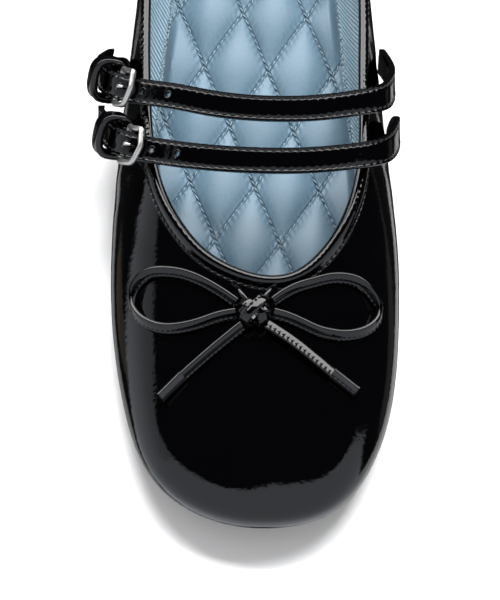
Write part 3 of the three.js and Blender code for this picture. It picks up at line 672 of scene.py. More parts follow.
satin_quilt, start = new_finish("quilted_satin")
edge = start.node("ShaderNodeAttribute", {"attribute_name": "sock_edge"}, output=1)
run, depth, _ = start.axes(edge)
x, y, _ = start.axes()
waver = start.grain(7 * MM, 2.0)
twill = (x * 0.62 + y * -0.78).wave(0.55 * MM, waver * 3)
weft = (x * 0.75 + y * 0.66).wave(0.42 * MM)
cords = (run * 0.5 + depth * 0.87).wave(0.9, waver * 4)
border = depth.step(BORDER + 0.35, BORDER - 0.35)
fray = start.grain(1.1 * MM, 3.0)
weave = twill * 0.35 + weft * 0.15 + 0.5
threads = cords * 0.5 + 0.5
seam_valley, seam_pucker = 0, 0
# aside counts the seams of one way from the first one, and ahead the crossings along them
for own, other in ((SEAM_FALLING, SEAM_RISING), (SEAM_RISING, SEAM_FALLING)):
    turned = float(own[0] * other[1] - own[1] * other[0]) * MM
    from_node = (x - QUILT_NODE[0] * MM, y - QUILT_NODE[1] * MM)
    aside = (from_node[1] * own[0] - from_node[0] * own[1]) * (1 / turned)
    ahead = (from_node[0] * other[1] - from_node[1] * other[0]) * (1 / turned)
    from_seam = start.math("ABSOLUTE", start.math("FRACT", aside + 0.5) - 0.5)
    tucks = (ahead + waver * 0.03).wave(1 / stitches_between(own)) * 0.5 + 0.5
    seam_valley = start.math("MAXIMUM", seam_valley, from_seam.step(0.045, 0.005))
    seam_pucker = seam_pucker + tucks * from_seam.step(0.17, 0.03) * (waver * 0.8 + 0.4)
pressed = (1 - border) * (seam_pucker * -1.3 - seam_valley * 2.0)
height = weave * (1 - border) * 0.2 + threads * border + fray * 0.22 + pressed
tone = (twill * 0.5 + 0.5) * (1 - border) + threads * border
# The base colour: the weave's tone and fray, a cloud of painted sheen, and painted shade that darkens the
# cloth along the seams' valleys.
sheen_cloud = start.grain(22 * MM, 2.0)
tone_sheen_and_seam_shade = tone * 0.45 + fray * 0.35 + sheen_cloud * 0.3 - seam_valley * 0.85
base = tone_sheen_and_seam_shade.tint((0.040, 0.080, 0.117, 1), (0.115, 0.184, 0.236, 1))
cord_blue = (threads * 0.8 + fray * 0.4 - 0.1).tint((0.030, 0.077, 0.118, 1), (0.195, 0.295, 0.354, 1))
close_finish(
    start,
    Base_Color=border.tint(base, cord_blue),
    Roughness=fray * 0.15 + 0.36,
    Normal=start.relief(height, 0.13 * MM),
    Sheen_Weight=0.25,
    Sheen_Roughness=0.35,
)

satin_thread, start = new_finish("satin_thread")
twist = start.axes()[0].wave(0.3 * MM)
close_finish(
    start,
    Base_Color=start.grain(1.5 * MM, 2.0).tint((0.153, 0.224, 0.266, 1), (0.248, 0.325, 0.366, 1)),
    Roughness=start.grain(0.8 * MM) * 0.2 + 0.35,
    Normal=start.relief(twist, 0.03 * MM),
)


def padding(depth):
    """How much the foam stands up, at a depth in from the sock's edge."""
    return SOCK_CROWN * (1 - np.exp(-depth / CROWN_RUN))


sock_rings = []
for side, clearance, lift in SOCK_PROFILE:
    inset = FILLER_INSET if side == "filler" else inside_inset(lift) + clearance
    sock_rings.append(underfoot(inset, lift))
sock_edge = sock_rings[-1]
bottom_shares = np.linspace(1, 0, 7)[:-1]
top_shares = np.linspace(0, 1, 47)[1:]
sock_rings = [towards_middle(sock_rings[0], share) for share in bottom_shares] + sock_rings
top_rings = np.array([towards_middle(sock_edge, share) for share in top_shares])
flat = top_rings[:, :, :2].reshape(-1, 2)
depth_in = np.concatenate([
    np.min(np.linalg.norm(block[:, None] - sock_edge[None, :, :2], axis=2), axis=1)
    for block in np.array_split(flat, 40)
]).reshape(top_rings.shape[:2])
seams_passed = np.linalg.solve(np.stack([SEAM_FALLING, SEAM_RISING], axis=1), (flat - QUILT_NODE).T)
puff = np.prod(np.abs(np.sin(math.pi * seams_passed)), axis=0).reshape(depth_in.shape) ** 0.55
inner = np.clip((depth_in - BORDER) / 2.5, 0, 1)
crown = padding(depth_in) + SOCK_RIM * np.exp(-((depth_in / 2.6) ** 2))
hem = 0.45 * np.exp(-(((depth_in - BORDER) / 0.5) ** 2))
top_rings[:, :, 2] = seat_height(top_rings[:, :, 1]) + SOCK_TOP + crown
top_rings[:, :, 2] += QUILT_RISE * puff * inner - SEAM_DROP * inner - hem
sock_points, sock_faces = skin_rings(np.concatenate([np.array(sock_rings), top_rings]))
sock_marks = np.zeros((len(sock_points), 3))  # how far round the edge a point is, and how far in
sock_marks[:, 0] = np.tile(run_along(sock_edge), len(sock_points) // RIBS)
sock_marks[len(sock_rings) * RIBS :, 1] = depth_in.reshape(-1)
_, kept = np.unique(np.round(sock_points, 4), axis=0, return_index=True)
sock = make_piece("quilted_insole", [weld(sock_points, sock_faces[:-2])], satin_quilt, ["insole"])
marks = sock.data.attributes.new("sock_edge", "FLOAT_VECTOR", "POINT")
marks.data.foreach_set("vector", sock_marks[kept].astype(np.float32).reshape(-1))


def stitch_parts(centres, along, outward, length, thick, dip=0.8, slant=0.0):
    """Thread stitches at centres, each dipping into the cloth or leather at both its ends."""
    headings = unit(along + slant * np.cross(outward, along))
    reach = np.linspace(-0.5, 0.5, 7)
    girth = thick / 2 * np.sqrt(1.05 - (2 * reach) ** 2)[:, None, None]
    cosine, sine = circle(6).T[:, None, :, None]
    parts = []
    for centre, forward, out in zip(centres, headings, outward):
        line = centre + np.outer(reach * length, forward) - np.outer(dip * thick * (2 * reach) ** 2, out)
        ring = cosine * unit(np.cross(forward, out)) + sine * out
        parts.append(skin_rings(line[:, None] + girth * ring))
    return parts


def seam_height(y, depth):
    """The bottom of a seam, at a depth in from the sock's edge."""
    return seat_height(y) + SOCK_TOP + padding(depth) - SEAM_DROP


def inside_outline(spots, outline):
    """Which spots lie inside a closed outline."""
    here, ahead = outline[None], np.roll(outline, -1, axis=0)[None]
    spots = spots[:, None]
    crossing = (here[..., 1] > spots[..., 1]) != (ahead[..., 1] > spots[..., 1])
    slope = (spots[..., 1] - here[..., 1]) / (ahead[..., 1] - here[..., 1] + 1e-9)
    right_of = spots[..., 0] < here[..., 0] + slope * (ahead[..., 0] - here[..., 0])
    return np.sum(crossing & right_of, axis=1) % 2 == 1


quilt_stitches = []
for along_seam, step_over in ((SEAM_FALLING, SEAM_RISING), (SEAM_RISING, SEAM_FALLING)):
    count = stitches_between(along_seam)
    places = np.arange(-9 * count, 9 * count) / count + 0.5 / count
    for line_number in range(-9, 10):
        spots = QUILT_NODE + line_number * step_over + places[:, None] * along_seam
        depth = np.linalg.norm(spots[:, None] - sock_edge[None, :, :2], axis=2).min(axis=1)
        within = inside_outline(spots, sock_edge[:, :2]) & (depth > BORDER)
        spots, depth = spots[within], depth[within]
        if not len(spots):
            continue
        centres = np.column_stack([spots, seam_height(spots[:, 1], depth) + STITCH_LIFT])
        forward = np.column_stack([np.tile(along_seam, (len(spots), 1)), np.zeros(len(spots))])
        upright = np.tile([0.0, 0.0, 1.0], (len(spots), 1))
        quilt_stitches += stitch_parts(
            centres, unit(forward), upright, STITCH_LONG, QUILT_THREAD, dip=0.5, slant=0.3
        )
make_piece("quilting_thread", quilt_stitches, satin_thread)

# The overlocking's needle threads along the border's inner edge
beside_hem = np.argmax(depth_in > BORDER, axis=0)
ribs = np.arange(RIBS)
hem_line = (top_rings[beside_hem, ribs] + top_rings[beside_hem - 1, ribs]) / 2
hem_line = even_line(np.vstack([hem_line, hem_line[:1]]), 1.1)
hem_along = unit(np.gradient(hem_line, axis=0))
hem_line[:, 2] = seam_height(hem_line[:, 1], BORDER) + 0.35
upright = np.tile([0.0, 0.0, 1.0], (len(hem_line), 1))
chance = np.random.default_rng(7)
hem_threads = []
for slant in (-1.3, 0.2, 1.1):
    shift = chance.uniform(-0.5, 0.5, (len(hem_line), 2))
    hem_spots = hem_line + np.column_stack([shift, np.zeros(len(shift))])
    chosen = chance.random(len(hem_line)) < 0.6
    spots, along, out = hem_spots[chosen], hem_along[chosen], upright[chosen]
    hem_threads += stitch_parts(spots, along, out, 1.9, QUILT_THREAD, slant=slant)
make_piece("border_thread", hem_threads, satin_thread)

# ----------------------------------------------------------
# Lining: blue satin over a thin backing, glued to the inside of the upper from the insole up
# to the collar, where the casing is stitched over its edge.
LINING_FACE = 1.75  # in from the upper's outer face
LINING_BACK = 1.40

lining_satin, start = new_finish("lining_satin")
x, y, z = start.axes()
twill = (x * 0.5 + y * 0.7 + z * 0.6).wave(0.6 * MM)
cloud = start.grain(15 * MM, 3.0)
close_finish(
    start,
    Base_Color=(cloud * 0.6 + twill * 0.2 + 0.2).tint((0.077, 0.133, 0.183, 1), (0.124, 0.195, 0.248, 1)),
    Roughness=cloud * 0.15 + 0.45,
    Normal=start.relief(twill * 0.5 + 0.5, 0.04 * MM, start.relief(cloud, 0.5 * MM)),
    Sheen_Weight=0.2,
)
wall = slice(TUCK_ROWS + 2, None)
lining_face = shell[:, wall] - LINING_FACE * shell_out[:, wall]
lining_back = shell[:, wall] - LINING_BACK * shell_out[:, wall]
lining_rings = np.concatenate([lining_back, lining_face[:, ::-1]], axis=1)
make_piece("lining", [skin_rings(lining_rings, closed=True)], lining_satin)

# ----------------------------------------------------------
# Upper: vamp, quarters and back of black patent leather in one shell, lasted round the toe and
# turned in under the insole. The sides carry the soft creases of lasting and of the straps' pull.
UPPER_THICK = 1.3
CREASES = (
    # middle of each trough, the way it runs, half length, half width, depth
    ((-40, -84, 26), (0.1, -0.15, 1), 13, 3.2, 0.30),
    ((-41, -95, 27), (0.1, -0.30, 1), 12, 3.6, 0.26),
    ((-38, -70, 28), (0.1, 0.10, 1), 12, 3.4, 0.22),
    ((-42, -109, 24), (0.3, -0.40, 1), 11, 4.2, 0.20),
    ((40, -80, 28), (-0.1, -0.10, 1), 12, 3.4, 0.24),
    ((41, -98, 26), (-0.1, -0.25, 1), 12, 3.8, 0.22),
    ((38, -60, 28), (-0.1, 0.10, 1), 12, 3.2, 0.20),
    ((-31, -134, 33), (0.5, -1.0, 0.2), 10, 3.0, 0.10),
    ((33, -136, 33), (-0.5, -1.0, 0.2), 10, 3.0, 0.10),
)


def creased(points, outward):
    """Points of the upper with its troughs and the ridges beside them pressed in."""
    depth = np.zeros(points.shape[:-1])
    for middle, heading, half_long, half_wide, deep in CREASES:
        heading = unit(np.array(heading, float))
        offset = points - np.array(middle, float)
        along = offset @ heading
        aside = np.linalg.norm(offset - along[..., None] * heading, axis=-1) / half_wide
        shape = np.exp(-(aside**2)) - 0.35 * np.exp(-((aside - 1.9) ** 2))
        depth += deep * shape * np.exp(-((along / half_long) ** 2))
    return points - depth[..., None] * outward


patent = make_patent("patent_leather", 15e-6)
outer_face = creased(shell, shell_out)
inner_face = shell - UPPER_THICK * shell_out
upper_rings = np.concatenate([outer_face, inner_face[:, ::-1]], axis=1)
make_piece("patent_upper", [skin_rings(upper_rings, closed=True)], patent, ["upper"], sharp=60)

# ----------------------------------------------------------
# Collar casing: a bias strip of patent rolled over the top edge round the drawstring and sewn
# through the upper along its lower edge. The drawstring gathers it into puckers at the sides.
CASING_MIDDLE = 2.5  # down the wall from the top edge
CASING_PROFILE = (
    # towards the top edge, out of the upper's face
    (-2.60, -0.10), (-2.62, 0.28), (-2.35, 0.42), (-2.05, 0.34), (-1.75, 0.62), (-1.30, 1.18),
    (-0.90, 1.68), (-0.40, 2.05), (0.30, 2.20), (1.10, 2.05), (1.80, 1.50), (2.25, 0.75),
    (2.42, -0.10), (2.20, -0.90), (1.60, -1.50), (0.60, -1.85), (-0.60, -1.95), (-1.90, -1.90),
    (-2.55, -1.60),
)
SEAM_STITCH = 2.2
SEAM_AT = -2.08  # towards the top edge from the casing's middle
SEAM_THREAD = 0.36
FINE = 1600  # steps round the collar

middle_run = wall_length - CASING_MIDDLE
casing_line = wall_at(middle_run)
climb = wall_at(middle_run + 0.4) - wall_at(middle_run - 0.4)
_, casing_up, casing_out = directions(casing_line, climb, closed=True)
casing_run = run_along(np.vstack([casing_line, casing_line[:1]]))
fine_run = np.linspace(0, casing_run[-1], FINE, endpoint=False)


def refine(values):
    """Values at the ribs round the collar, read off at its fine steps."""
    looped = np.vstack([values, values[:1]])
    return np.column_stack([np.interp(fine_run, casing_run, looped[:, k]) for k in range(3)])


def eased(values, reach=5):
    """Values round the collar averaged with their neighbours, so that no facet shows."""
    return sum(np.roll(values, shift, axis=0) for shift in range(-reach, reach + 1)) / (2 * reach + 1)


def rising(values, low, high):
    """0 up to low, 1 from high, and straight between them."""
    return np.clip((values - low) / (high - low), 0, 1)


fine_line, fine_up, fine_out = (eased(refine(v)) for v in (casing_line, casing_up, casing_out))
fine_up, fine_out = unit(fine_up), unit(fine_out)
profile_curve, profile_places = smooth_curve(CASING_PROFILE, closed=True, measured=2)
profile = profile_curve(np.linspace(0, profile_places[-1], 60, endpoint=False))
proud = 1 - 0.38 * rising(fine_line[:, 1], -124, -98)[:, None]  # lower at the sides
gather = 0.02 + 0.16 * rising(fine_line[:, 1], -112, -82)
# The puckers are about 2.3 mm apart, and their pitch and depth wander round the collar
pucker = np.sin(2 * math.pi * fine_run / 2.3 + 2.2 * np.sin(fine_run / 3.7) + 1.3 * np.sin(fine_run / 9.1))
pucker *= 0.6 + 0.4 * np.sin(fine_run / 5.3 + 1.1)
stitch_hole = (0.5 + 0.5 * np.cos(2 * math.pi * fine_run / SEAM_STITCH)) ** 2
section = np.zeros((FINE, len(profile), 2))
section[..., 0] = profile[:, 0]
section[..., 1] = np.where(profile[:, 1] > 0, profile[:, 1] * proud, profile[:, 1])
rolled = np.exp(-(((profile[:, 0] - 0.6) / 1.6) ** 2)) * (profile[:, 1] > -0.6)
section[..., 1] += (gather * pucker)[:, None] * rolled
seamed = np.exp(-(((profile[:, 0] + 2.1) / 0.4) ** 2)) * (profile[:, 1] > 0)
section[..., 1] -= 0.06 * stitch_hole[:, None] * seamed
casing_patent = make_patent("casing_patent", 7e-6)
casing_part = skin_rings(sweep(fine_line, fine_up, fine_out, section), closed=True)
make_piece("collar_casing", [casing_part], casing_patent, ["topline_binding"], sharp=70)

black_thread, start = new_finish("black_thread")
lay = start.grain(0.5 * MM, 2.0)
close_finish(
    start,
    Base_Color=lay.tint((0.003, 0.003, 0.004, 1), (0.010, 0.010, 0.012, 1)),
    Roughness=lay * 0.2 + 0.46,
    Normal=start.relief(lay, 0.03 * MM),
)


def seam_stitches(line, across, outward, side, height, pitch, slant=0.0):
    """Stitches at a pitch along a seam that runs beside a line, side across it."""
    seam = line + side * across + height * outward
    run = run_along(seam)
    places = np.arange(0.5, run[-1] / pitch - 0.4) * pitch
    spots, forward, out = (
        np.column_stack([np.interp(places, run, values[:, k]) for k in range(3)])
        for values in (seam, unit(np.gradient(seam, axis=0)), outward)
    )
    return stitch_parts(spots, unit(forward), unit(out), pitch * 0.78, SEAM_THREAD, slant=slant)


casing_stitches = seam_stitches(fine_line, fine_up, fine_out, SEAM_AT, 0.62 * proud, SEAM_STITCH)
make_piece("casing_stitches", casing_stitches, black_thread)

# ----------------------------------------------------------
# Straps: two bands of folded patent over the instep, a stitched bead along both edges, with
# punched holes and a pointed end. They are sewn in at the inner side and buckle outside.
STRAP_WIDE = 8
STRAP_THICK = 2
STRAP_TILT = math.radians(18)
TOWARDS_HEEL = (0, math.cos(STRAP_TILT), math.sin(STRAP_TILT))
STRAP_STEP = 0.3
STRAP_STITCH = 2.6
STITCH_LINE = 0.74  # where the stitches run, as a share of the way from the middle to the edge
PRONG_HOLE = 4.9
HOLE_PITCH = 9
HOLE_WIDE = 2.0
POINT_LONG = 12.0
STRAP_ROUTES = {
    # which point of the route the outer bar crosses, and the route, from the inner side's sole
    # edge to the free end
    "front": (13, [
        (42.2, -81, 12.5), (42.9, -83, 20), (43.6, -86.5, 27), (43.6, -92, 33), (42.4, -98.7, 38),
        (40.2, -104.5, 42.6), (36.2, -108.7, 46.2), (28.7, -112.5, 49.8), (16.5, -116, 53),
        (2.7, -117.4, 54.8), (-11, -115.6, 53.4), (-21.7, -112.4, 50.6), (-29.6, -109, 47.6),
        (-34.9, -107.2, 46.6), (-40.2, -104, 44.6), (-44, -98.2, 40.2), (-46.3, -91, 34.6),
        (-47.4, -84, 30), (-47.6, -78, 27),
    ]),
    "rear": (13, [
        (40, -51.5, 14), (41.2, -59.5, 21.5), (42.2, -67.5, 28.5), (42.4, -74.8, 34.8),
        (41.4, -81.6, 40.3), (39.6, -86.6, 44.5), (36.3, -90, 47.6), (28.8, -94.3, 51.5),
        (16.6, -98.7, 55.5), (2.7, -100.2, 57.5), (-11.2, -97.6, 56), (-23.1, -92.8, 53),
        (-31.4, -89.2, 50), (-37.4, -86.4, 47.6), (-42.4, -83, 45.2), (-45.8, -78, 41),
        (-47.6, -71.6, 36), (-47.2, -64.9, 31.4), (-44.9, -56.6, 27.4),
    ]),
}
strap_patent = make_patent("strap_patent", 16e-6, gloss=1.4)


def band_section(run, half_wide, half_thick, stitch, widths):
    """A stitched band cut across: crowned face, a groove for the stitches and a beaded edge."""
    hole = (0.5 + 0.5 * np.cos(2 * math.pi * run / stitch))[:, None] ** 2
    side = np.array([0, 0.25, 0.45, 0.6, 0.66, 0.70, 0.74, 0.78, 0.84, 0.90, 0.945]) * half_wide
    groove = np.exp(-(((side - STITCH_LINE * half_wide) / 0.26) ** 2))
    bead = np.exp(-(((side - 0.88 * half_wide) / 0.34) ** 2))
    pucker = 0.07 * hole * np.exp(-(((side - 0.70 * half_wide) / 0.9) ** 2))
    face = half_thick - 0.20 * groove - 0.14 * groove * hole + 0.10 * bead * (1 - hole) - pucker
    corner = [(0.98, 0.78), (1.0, 0.45), (1.0, -0.45), (0.98, -0.80), (0.93, -0.97), (0.6, -1.0)]
    rim = np.array(corner) * (half_wide, half_thick)
    rim = np.broadcast_to(rim, (len(run), *rim.shape))
    upper = np.stack([np.broadcast_to(side, face.shape), face], axis=-1)
    right = np.concatenate([upper, rim], axis=1)
    left = right[:, :0:-1] * (-1, 1)
    section = np.concatenate([right, left], axis=1)
    section[..., 0] *= widths[:, None]
    return section


def band_stitches(line, across, outward, thick, slant=0.0):
    """The rows of stitches along both edges of a band."""
    stitches = []
    for side in (-STITCH_LINE * STRAP_WIDE / 2, STITCH_LINE * STRAP_WIDE / 2):
        stitches += seam_stitches(line, across, outward, side, thick / 2 - 0.02, STRAP_STITCH, slant)
    return stitches


def punch(piece, centres, along, outward):
    """Cuts the straps' round holes through a piece."""
    parts = []
    for centre, forward, out in zip(centres, along, outward):
        axis = centre + np.outer((-4, 4), out)
        spokes = np.tile(forward, (2, 1)), np.tile(np.cross(out, forward), (2, 1))
        parts.append(skin_rings(sweep(axis, *spokes, circle(20) * HOLE_WIDE / 2)))
    cutter = make_piece("hole_punch", parts, piece.active_material)
    cut = piece.modifiers.new("holes", "BOOLEAN")
    cut.operation = "DIFFERENCE"
    cut.solver = "EXACT"
    cut.object = cutter
    cut_shapes = bpy.context.evaluated_depsgraph_get()
    punched = bpy.data.meshes.new_from_object(piece.evaluated_get(cut_shapes))
    piece.modifiers.clear()
    piece.data = punched
    bpy.data.objects.remove(cutter)


def hole_lip(centre, forward, out):
    """The pinched edge that the punch leaves round a hole."""
    cosine, sine = circle(28).T[..., None]
    spokes = cosine * forward + sine * np.cross(out, forward)
    rim = centre + spokes * (HOLE_WIDE / 2 + 0.10)
    return skin_rings(sweep(rim, spokes, np.tile(out, (28, 1)), circle(8) * (0.16, 0.10)), closed=True)


bands = {}
for place, (bar_index, route) in STRAP_ROUTES.items():
    line = even_line(route, STRAP_STEP)
    along, across, outward = directions(line, TOWARDS_HEEL)
    run = np.arange(len(line)) * STRAP_STEP
    bar = int(np.argmin(np.linalg.norm(line - route[bar_index], axis=1)))
    bands[place] = {"line": line, "along": along, "across": across, "outward": outward, "bar": bar}
    to_end = (run[-1] - run) / POINT_LONG
    widths = 0.1 + 0.9 * np.clip(to_end, 0, 1) ** 0.9
    section = band_section(run, STRAP_WIDE / 2, STRAP_THICK / 2, STRAP_STITCH, widths)
    part = skin_rings(sweep(line, across, outward, section))
    strap = make_piece(f"strap_{place}_patent", [part], strap_patent, [f"strap_{place}"])
    holes = [bar + round((PRONG_HOLE - count * HOLE_PITCH) / STRAP_STEP) for count in range(3)]
    punch(strap, line[holes], along[holes], outward[holes])
    lips = [hole_lip(line[h] + outward[h] * STRAP_THICK / 2, along[h], outward[h]) for h in holes]
    make_piece(f"strap_{place}_holes", lips, strap_patent)
    sewn = slice(0, len(line) - round(POINT_LONG * 0.7 / STRAP_STEP))
    stitches = band_stitches(line[sewn], across[sewn], outward[sewn], STRAP_THICK, slant=0.18)
    make_piece(f"strap_{place}_stitches", stitches, black_thread)

# ----------------------------------------------------------
# Buckles: bent from steel wire, brushed and plated. The outer bar is bent to a shallow peak
# where the prong rests, and the prong is a pin curled round the hinge bar.
BUCKLE_WIRE = 1.7
BUCKLE_WIDE = 10.8
BUCKLE_LONG = 8.5
BUCKLE_PEAK = 1.0
BAR_LIFT = STRAP_THICK / 2 + 2 * GAP + BUCKLE_WIRE / 2
PRONG_WIRE = 1.25
PRONG_STEPS = 90
PRONG_PATH = (
    # from the outer bar towards the hinge, and out of the strap's middle
    (7.6, -3.9), (9.2, -3.7), (10.0, -2.6), (9.3, -1.3), (7.8, -1.05), (6.4, -1.7), (5.4, -1.5),
    (4.95, -0.3), (4.75, 0.9), (4.2, 1.8), (3.2, 2.3), (1.9, 2.45),
)

buckle_steel, start = new_finish("brushed_steel")
brush = start.grain(0.4 * MM, 3.0)
tarnish = start.grain(5 * MM, 3.0)
close_finish(
    start,
    Base_Color=tarnish.tint((0.48, 0.465, 0.44, 1), (0.66, 0.645, 0.62, 1)),
    Metallic=1.0,
    Roughness=brush * 0.12 + tarnish * 0.08 + 0.26,
    Normal=start.relief(brush, 6e-6),
)


def beside(place, distance, across_by, out_by):
    """Points given by their distance past the outer bar, across the strap and out of it."""
    band = bands[place]
    index = np.clip(band["bar"] + np.asarray(distance, float) / STRAP_STEP, 0, len(band["line"]) - 1.001)
    low = index.astype(int)
    part = (index - low)[:, None]
    here, side, out = (
        band[key][low] * (1 - part) + band[key][low + 1] * part for key in ("line", "across", "outward")
    )
    return here + np.reshape(across_by, (-1, 1)) * side + np.reshape(out_by, (-1, 1)) * out


def rounded_loop(half_long, half_wide, steps, power):
    """Steps round a loop: an oval at power 1 and squarer below it."""
    turn = circle(steps)
    return np.sign(turn) * np.abs(turn) ** power * (half_long, half_wide)


def softened(loop, times):
    """A closed line with its corners rounded off, each point averaged with its neighbours."""
    for _ in range(times):
        loop = (np.roll(loop, 1, axis=0) + 2 * loop + np.roll(loop, -1, axis=0)) / 4
    return loop


for place, band in bands.items():
    bar = band["bar"]
    half = BUCKLE_WIDE / 2
    peak = (-1.35 * BUCKLE_PEAK, 0)
    corners = np.array([peak, (0, -half), (BUCKLE_LONG, -half), (BUCKLE_LONG, half), (0, half), peak])
    corner_run = run_along(corners)
    wire_run = np.linspace(0, corner_run[-1], 300, endpoint=False)
    long, wide = (np.interp(wire_run, corner_run, corners[:, k]) for k in range(2))
    loop = softened(beside(place, long, wide, BAR_LIFT * (1 - 2 * long / BUCKLE_LONG)), 40)
    _, up, out = directions(loop, band["outward"][bar], closed=True)
    wire = rounded_loop(BUCKLE_WIRE / 2, BUCKLE_WIRE / 2, 16, 0.75)
    part = skin_rings(sweep(loop, up, out, wire), closed=True)
    make_piece(f"buckle_{place}", [part], buckle_steel, [f"buckle_frame_{place}"])

    prong_curve, prong_places = smooth_curve(PRONG_PATH, measured=2)
    path = prong_curve(np.linspace(0, prong_places[-1], PRONG_STEPS))
    pin = beside(place, path[:, 0], 0, path[:, 1])
    _, up, out = directions(pin, band["across"][bar])
    to_tip = PRONG_STEPS - np.arange(PRONG_STEPS)
    taper = np.clip(to_tip / 14, 0.25, 1) ** 0.4
    part = skin_rings(sweep(pin, up, out, circle(16) * PRONG_WIRE / 2 * taper[:, None, None]))
    make_piece(f"prong_{place}", [part], buckle_steel, [f"buckle_prong_{place}"])

# ----------------------------------------------------------
# Buckle straps: short bands of the same folded patent. Each is folded round its buckle's hinge
# bar, runs back under the strap's end and goes down between the upper and the sole.
BUCKLE_STRAP_THICK = 1.6
UNDER_HINGE = BAR_LIFT + BUCKLE_WIRE / 2 + GAP + BUCKLE_STRAP_THICK / 2
UNDER_STRAP = STRAP_THICK / 2 + 2.5 * GAP + BUCKLE_STRAP_THICK / 2
KEEPER_AT = 15.2
KEEPER_WIDE = 5.6
BUCKLE_STRAP_FEET = {
    "front": [(-43.4, -84, 24), (-43.0, -79, 12.5)],
    "rear": [(-41.6, -62, 24), (-40.2, -56, 13.5)],
}
FOOT_LEAN = np.array([0, 0.88, 0.47])
FOLD_PLACES = (
    # past the outer bar, and below the strap's middle
    (BUCKLE_LONG - 0.4, UNDER_HINGE), (BUCKLE_LONG + 1.8, UNDER_HINGE - 0.3),
    (BUCKLE_LONG + 4, UNDER_STRAP + 0.3), (KEEPER_AT, UNDER_STRAP),
    (KEEPER_AT + KEEPER_WIDE, UNDER_STRAP + 0.3),
)

for place, feet in BUCKLE_STRAP_FEET.items():
    distance, drop = np.array(FOLD_PLACES).T
    edges = []
    for side in (-STRAP_WIDE / 2, STRAP_WIDE / 2):
        fold = beside(place, distance, side, -drop)
        edges.append(even_line(np.vstack([fold, np.array(feet) + FOOT_LEAN * side]), 0.1))
    near, far = (edge[np.linspace(0, len(edge) - 1, 150).astype(int)] for edge in edges)
    line = (near + far) / 2
    _, across, outward = directions(line, far - near)
    widths = np.ones(len(line))
    section = band_section(run_along(line), STRAP_WIDE / 2, BUCKLE_STRAP_THICK / 2, STRAP_STITCH, widths)
    part = skin_rings(sweep(line, across, outward, section))
    node = f"buckle_strap_{place}"
    make_piece(f"{node}_patent", [part], strap_patent, [node])
    stitches = band_stitches(line, across, outward, BUCKLE_STRAP_THICK)
    make_piece(f"{node}_stitches", stitches, black_thread)

# ----------------------------------------------------------
# Keepers: bands of patent folded to a bead along both rims and closed to a loop, which slide on
# the two straps and hold the free end down.
KEEPER_THICK = 1.6
KEEPER_TOP = STRAP_THICK / 2 + GAP + KEEPER_THICK / 2 + 2.0
KEEPER_BOTTOM = UNDER_STRAP + BUCKLE_STRAP_THICK / 2 + GAP + KEEPER_THICK / 2 + 1.3
KEEPER_HALF = STRAP_WIDE / 2 + GAP + KEEPER_THICK / 2 + 1.1
KEEPER_SECTION = (
    # along the strap, out of the band
    (-2.8, -0.6), (-2.55, -1.2), (-1.8, -1.5), (0, -1.5), (1.8, -1.5), (2.55, -1.2), (2.8, -0.6),
    (2.8, 0.35), (2.6, 0.78), (2.2, 0.92), (1.8, 0.78), (1.2, 0.66), (0, 0.62), (-1.2, 0.66),
    (-1.8, 0.78), (-2.2, 0.92), (-2.6, 0.78), (-2.8, 0.35),
)
keeper_patent = make_patent("keeper_patent", 7e-6)

for place, band in bands.items():
    tall, wide = rounded_loop((KEEPER_TOP + KEEPER_BOTTOM) / 2, KEEPER_HALF, 120, 0.68).T
    standing = (KEEPER_TOP - KEEPER_BOTTOM) / 2 + tall
    loop = softened(beside(place, np.full(len(wide), KEEPER_AT), wide, standing), 4)
    along = band["along"][band["bar"] + round(KEEPER_AT / STRAP_STEP)]
    _, forward, out = directions(loop, along, closed=True)
    facing = np.sum(out * (loop - loop.mean(axis=0)), axis=1).mean()
    part = skin_rings(sweep(loop, forward, out * np.sign(facing), np.array(KEEPER_SECTION)), closed=True)
    make_piece(f"keeper_{place}_patent", [part], keeper_patent, [f"keeper_{place}"], sharp=80)

# ----------------------------------------------------------
# Studio: a pale paper sweep, lit by soft lamps from behind, from low in front and overhead.
# Curved screens stand round it, a softbox behind the heel and reflectors round the toe, which
# only the patent and the steel mirror.
sweep_paper, start = new_finish("sweep_paper")
close_finish(
    start,
    Base_Color=start.grain(4 * MM).tint((0.90, 0.90, 0.91, 1), (0.92, 0.92, 0.93, 1)),
    Roughness=start.grain(20 * MM) * 0.05 + 0.9,
    Specular_IOR_Level=0.1,
    Emission_Color=(1.0, 1.0, 1.0, 1),
    Emission_Strength=0.05,
)
sweep_mesh = bpy.data.meshes.new("sweep")
sweep_mesh.from_pydata([(-4, -4, 0), (4, -4, 0), (4, 4, 0), (-4, 4, 0)], [], [(0, 1, 2, 3)])
sweep_mesh.materials.append(sweep_paper)
floor = add_object("sweep", sweep_mesh)
floor.visible_glossy = False

SCREEN_CENTRE = (0, -0.13, 0.02)
SCREEN_DISTANCE = 1.5
SCREEN_ROWS = 8
REFLECTOR_WHITE = (0.92, 0.97, 1.05)


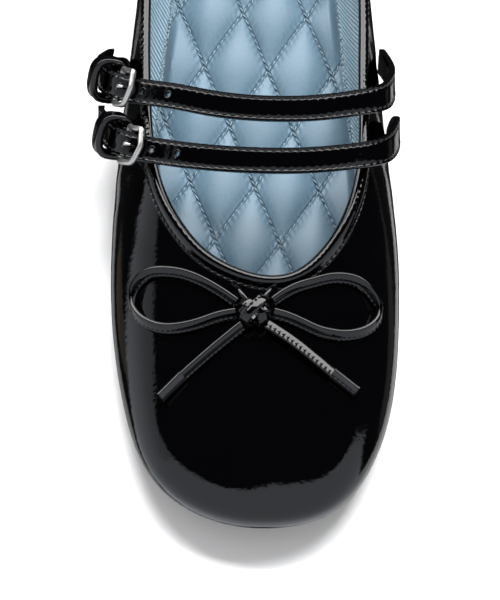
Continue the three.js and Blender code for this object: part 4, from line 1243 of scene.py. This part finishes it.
def screen(name, columns, brightness, colour=(1, 1, 1), dimmed=1.0):
    """A glowing curved screen round the shoe, dimmed towards its top. Each column gives a bearing
    from the toe's front, positive to the inner side, and the elevations it stands between."""
    table = np.array(columns, float)
    bearings = np.arange(table[0, 0], table[-1, 0] + 0.1, 2.5)
    low, high = (np.radians(np.interp(bearings, table[:, 0], table[:, k])) for k in (1, 2))
    turn = np.radians(bearings)
    points = []
    for share in np.linspace(0, 1, SCREEN_ROWS + 1):
        lift = low + share * (high - low)
        facing = np.stack([np.sin(turn) * np.cos(lift), -np.cos(turn) * np.cos(lift), np.sin(lift)], axis=1)
        points.append(SCREEN_CENTRE + SCREEN_DISTANCE * facing)
    count = len(bearings)
    corners = [row * count + column for row in range(SCREEN_ROWS) for column in range(count - 1)]
    faces = [(corner, corner + 1, corner + count + 1, corner + count) for corner in corners]
    glowing, start = new_finish(name)
    height = start.axes()[2]
    top = SCREEN_DISTANCE * math.sin(high.max())
    glow = height.step(0.1 * top, top).tint((*colour, 1), (*(c * dimmed for c in colour), 1))
    emission = start.node("ShaderNodeEmission", {}, {"Color": glow, "Strength": brightness})
    start.node("ShaderNodeOutputMaterial", {}, {"Surface": emission})
    mesh = bpy.data.meshes.new(name)
    mesh.from_pydata(np.concatenate(points).tolist(), [], faces)
    mesh.materials.append(glowing)
    made = add_object(name, mesh)
    made.visible_camera = False
    made.visible_diffuse = False
    made.visible_shadow = False


screen("back_softbox", [
    (116, 22, 50), (150, 22, 60), (165, 22, 68), (180, 22, 70), (195, 22, 68), (210, 22, 60), (244, 22, 50),
], 6.5)
screen("toe_reflector", [
    (-80, -85, 44), (-67, -85, 54), (-38, -85, 66), (-10, -85, 76), (22, -85, 80), (50, -85, 72),
    (62, -85, 62), (75, -85, 52), (83, -85, 46), (88, -2, 42), (97, 22, 34),
], 0.95, REFLECTOR_WHITE)
screen("outer_reflector", [
    (-119, 30, 40), (-113, 8, 43), (-107, -40, 43), (-102, -60, 37), (-96, -75, 35), (-79, -85, 44),
], 1.0, REFLECTOR_WHITE, dimmed=0.6)
screen("outer_floor_bounce", [(-150, -88, -42), (-113, -88, -42)], 0.45)
screen("inner_floor_bounce", [(83, -88, -26), (105, -88, -38), (150, -88, -42)], 0.75)
screen("inner_side_strip", [(104, -34, -16), (126, -36, -20)], 0.12)
screen("wooden_shelf", [(-126, -33, -28), (-118, -33, -18), (-108, -20, -8)], 0.2, (1.0, 0.86, 0.72))


def lamp(name, place, wide, high, power):
    """A soft lamp aimed at the shoe whose own shape the patent doesn't mirror."""
    light = bpy.data.lights.new(name, "AREA")
    light.shape = "RECTANGLE"
    light.size, light.size_y = wide, high
    light.energy = power
    made = add_object(name, light)
    made.location = place
    made.rotation_euler = (Vector((0, -0.1, 0)) - Vector(place)).to_track_quat("-Z", "Y").to_euler()
    made.visible_glossy = False


lamp("back_lamp", (0.16, 0.46, 1.37), 1.3, 0.55, 55)
lamp("front_fill", (0.1, -1.35, 0.36), 1.8, 0.3, 13)
lamp("overhead_silk", (0, -0.1, 2.2), 3.0, 3.0, 22)

world = bpy.data.worlds.new("studio")
world.use_nodes = True
dim_room = world.node_tree.nodes["Background"].inputs
dim_room["Color"].default_value = (0.9, 0.95, 1, 1)
dim_room["Strength"].default_value = 0.02
bpy.context.scene.world = world
bpy.context.scene.view_settings.view_transform = "Standard"
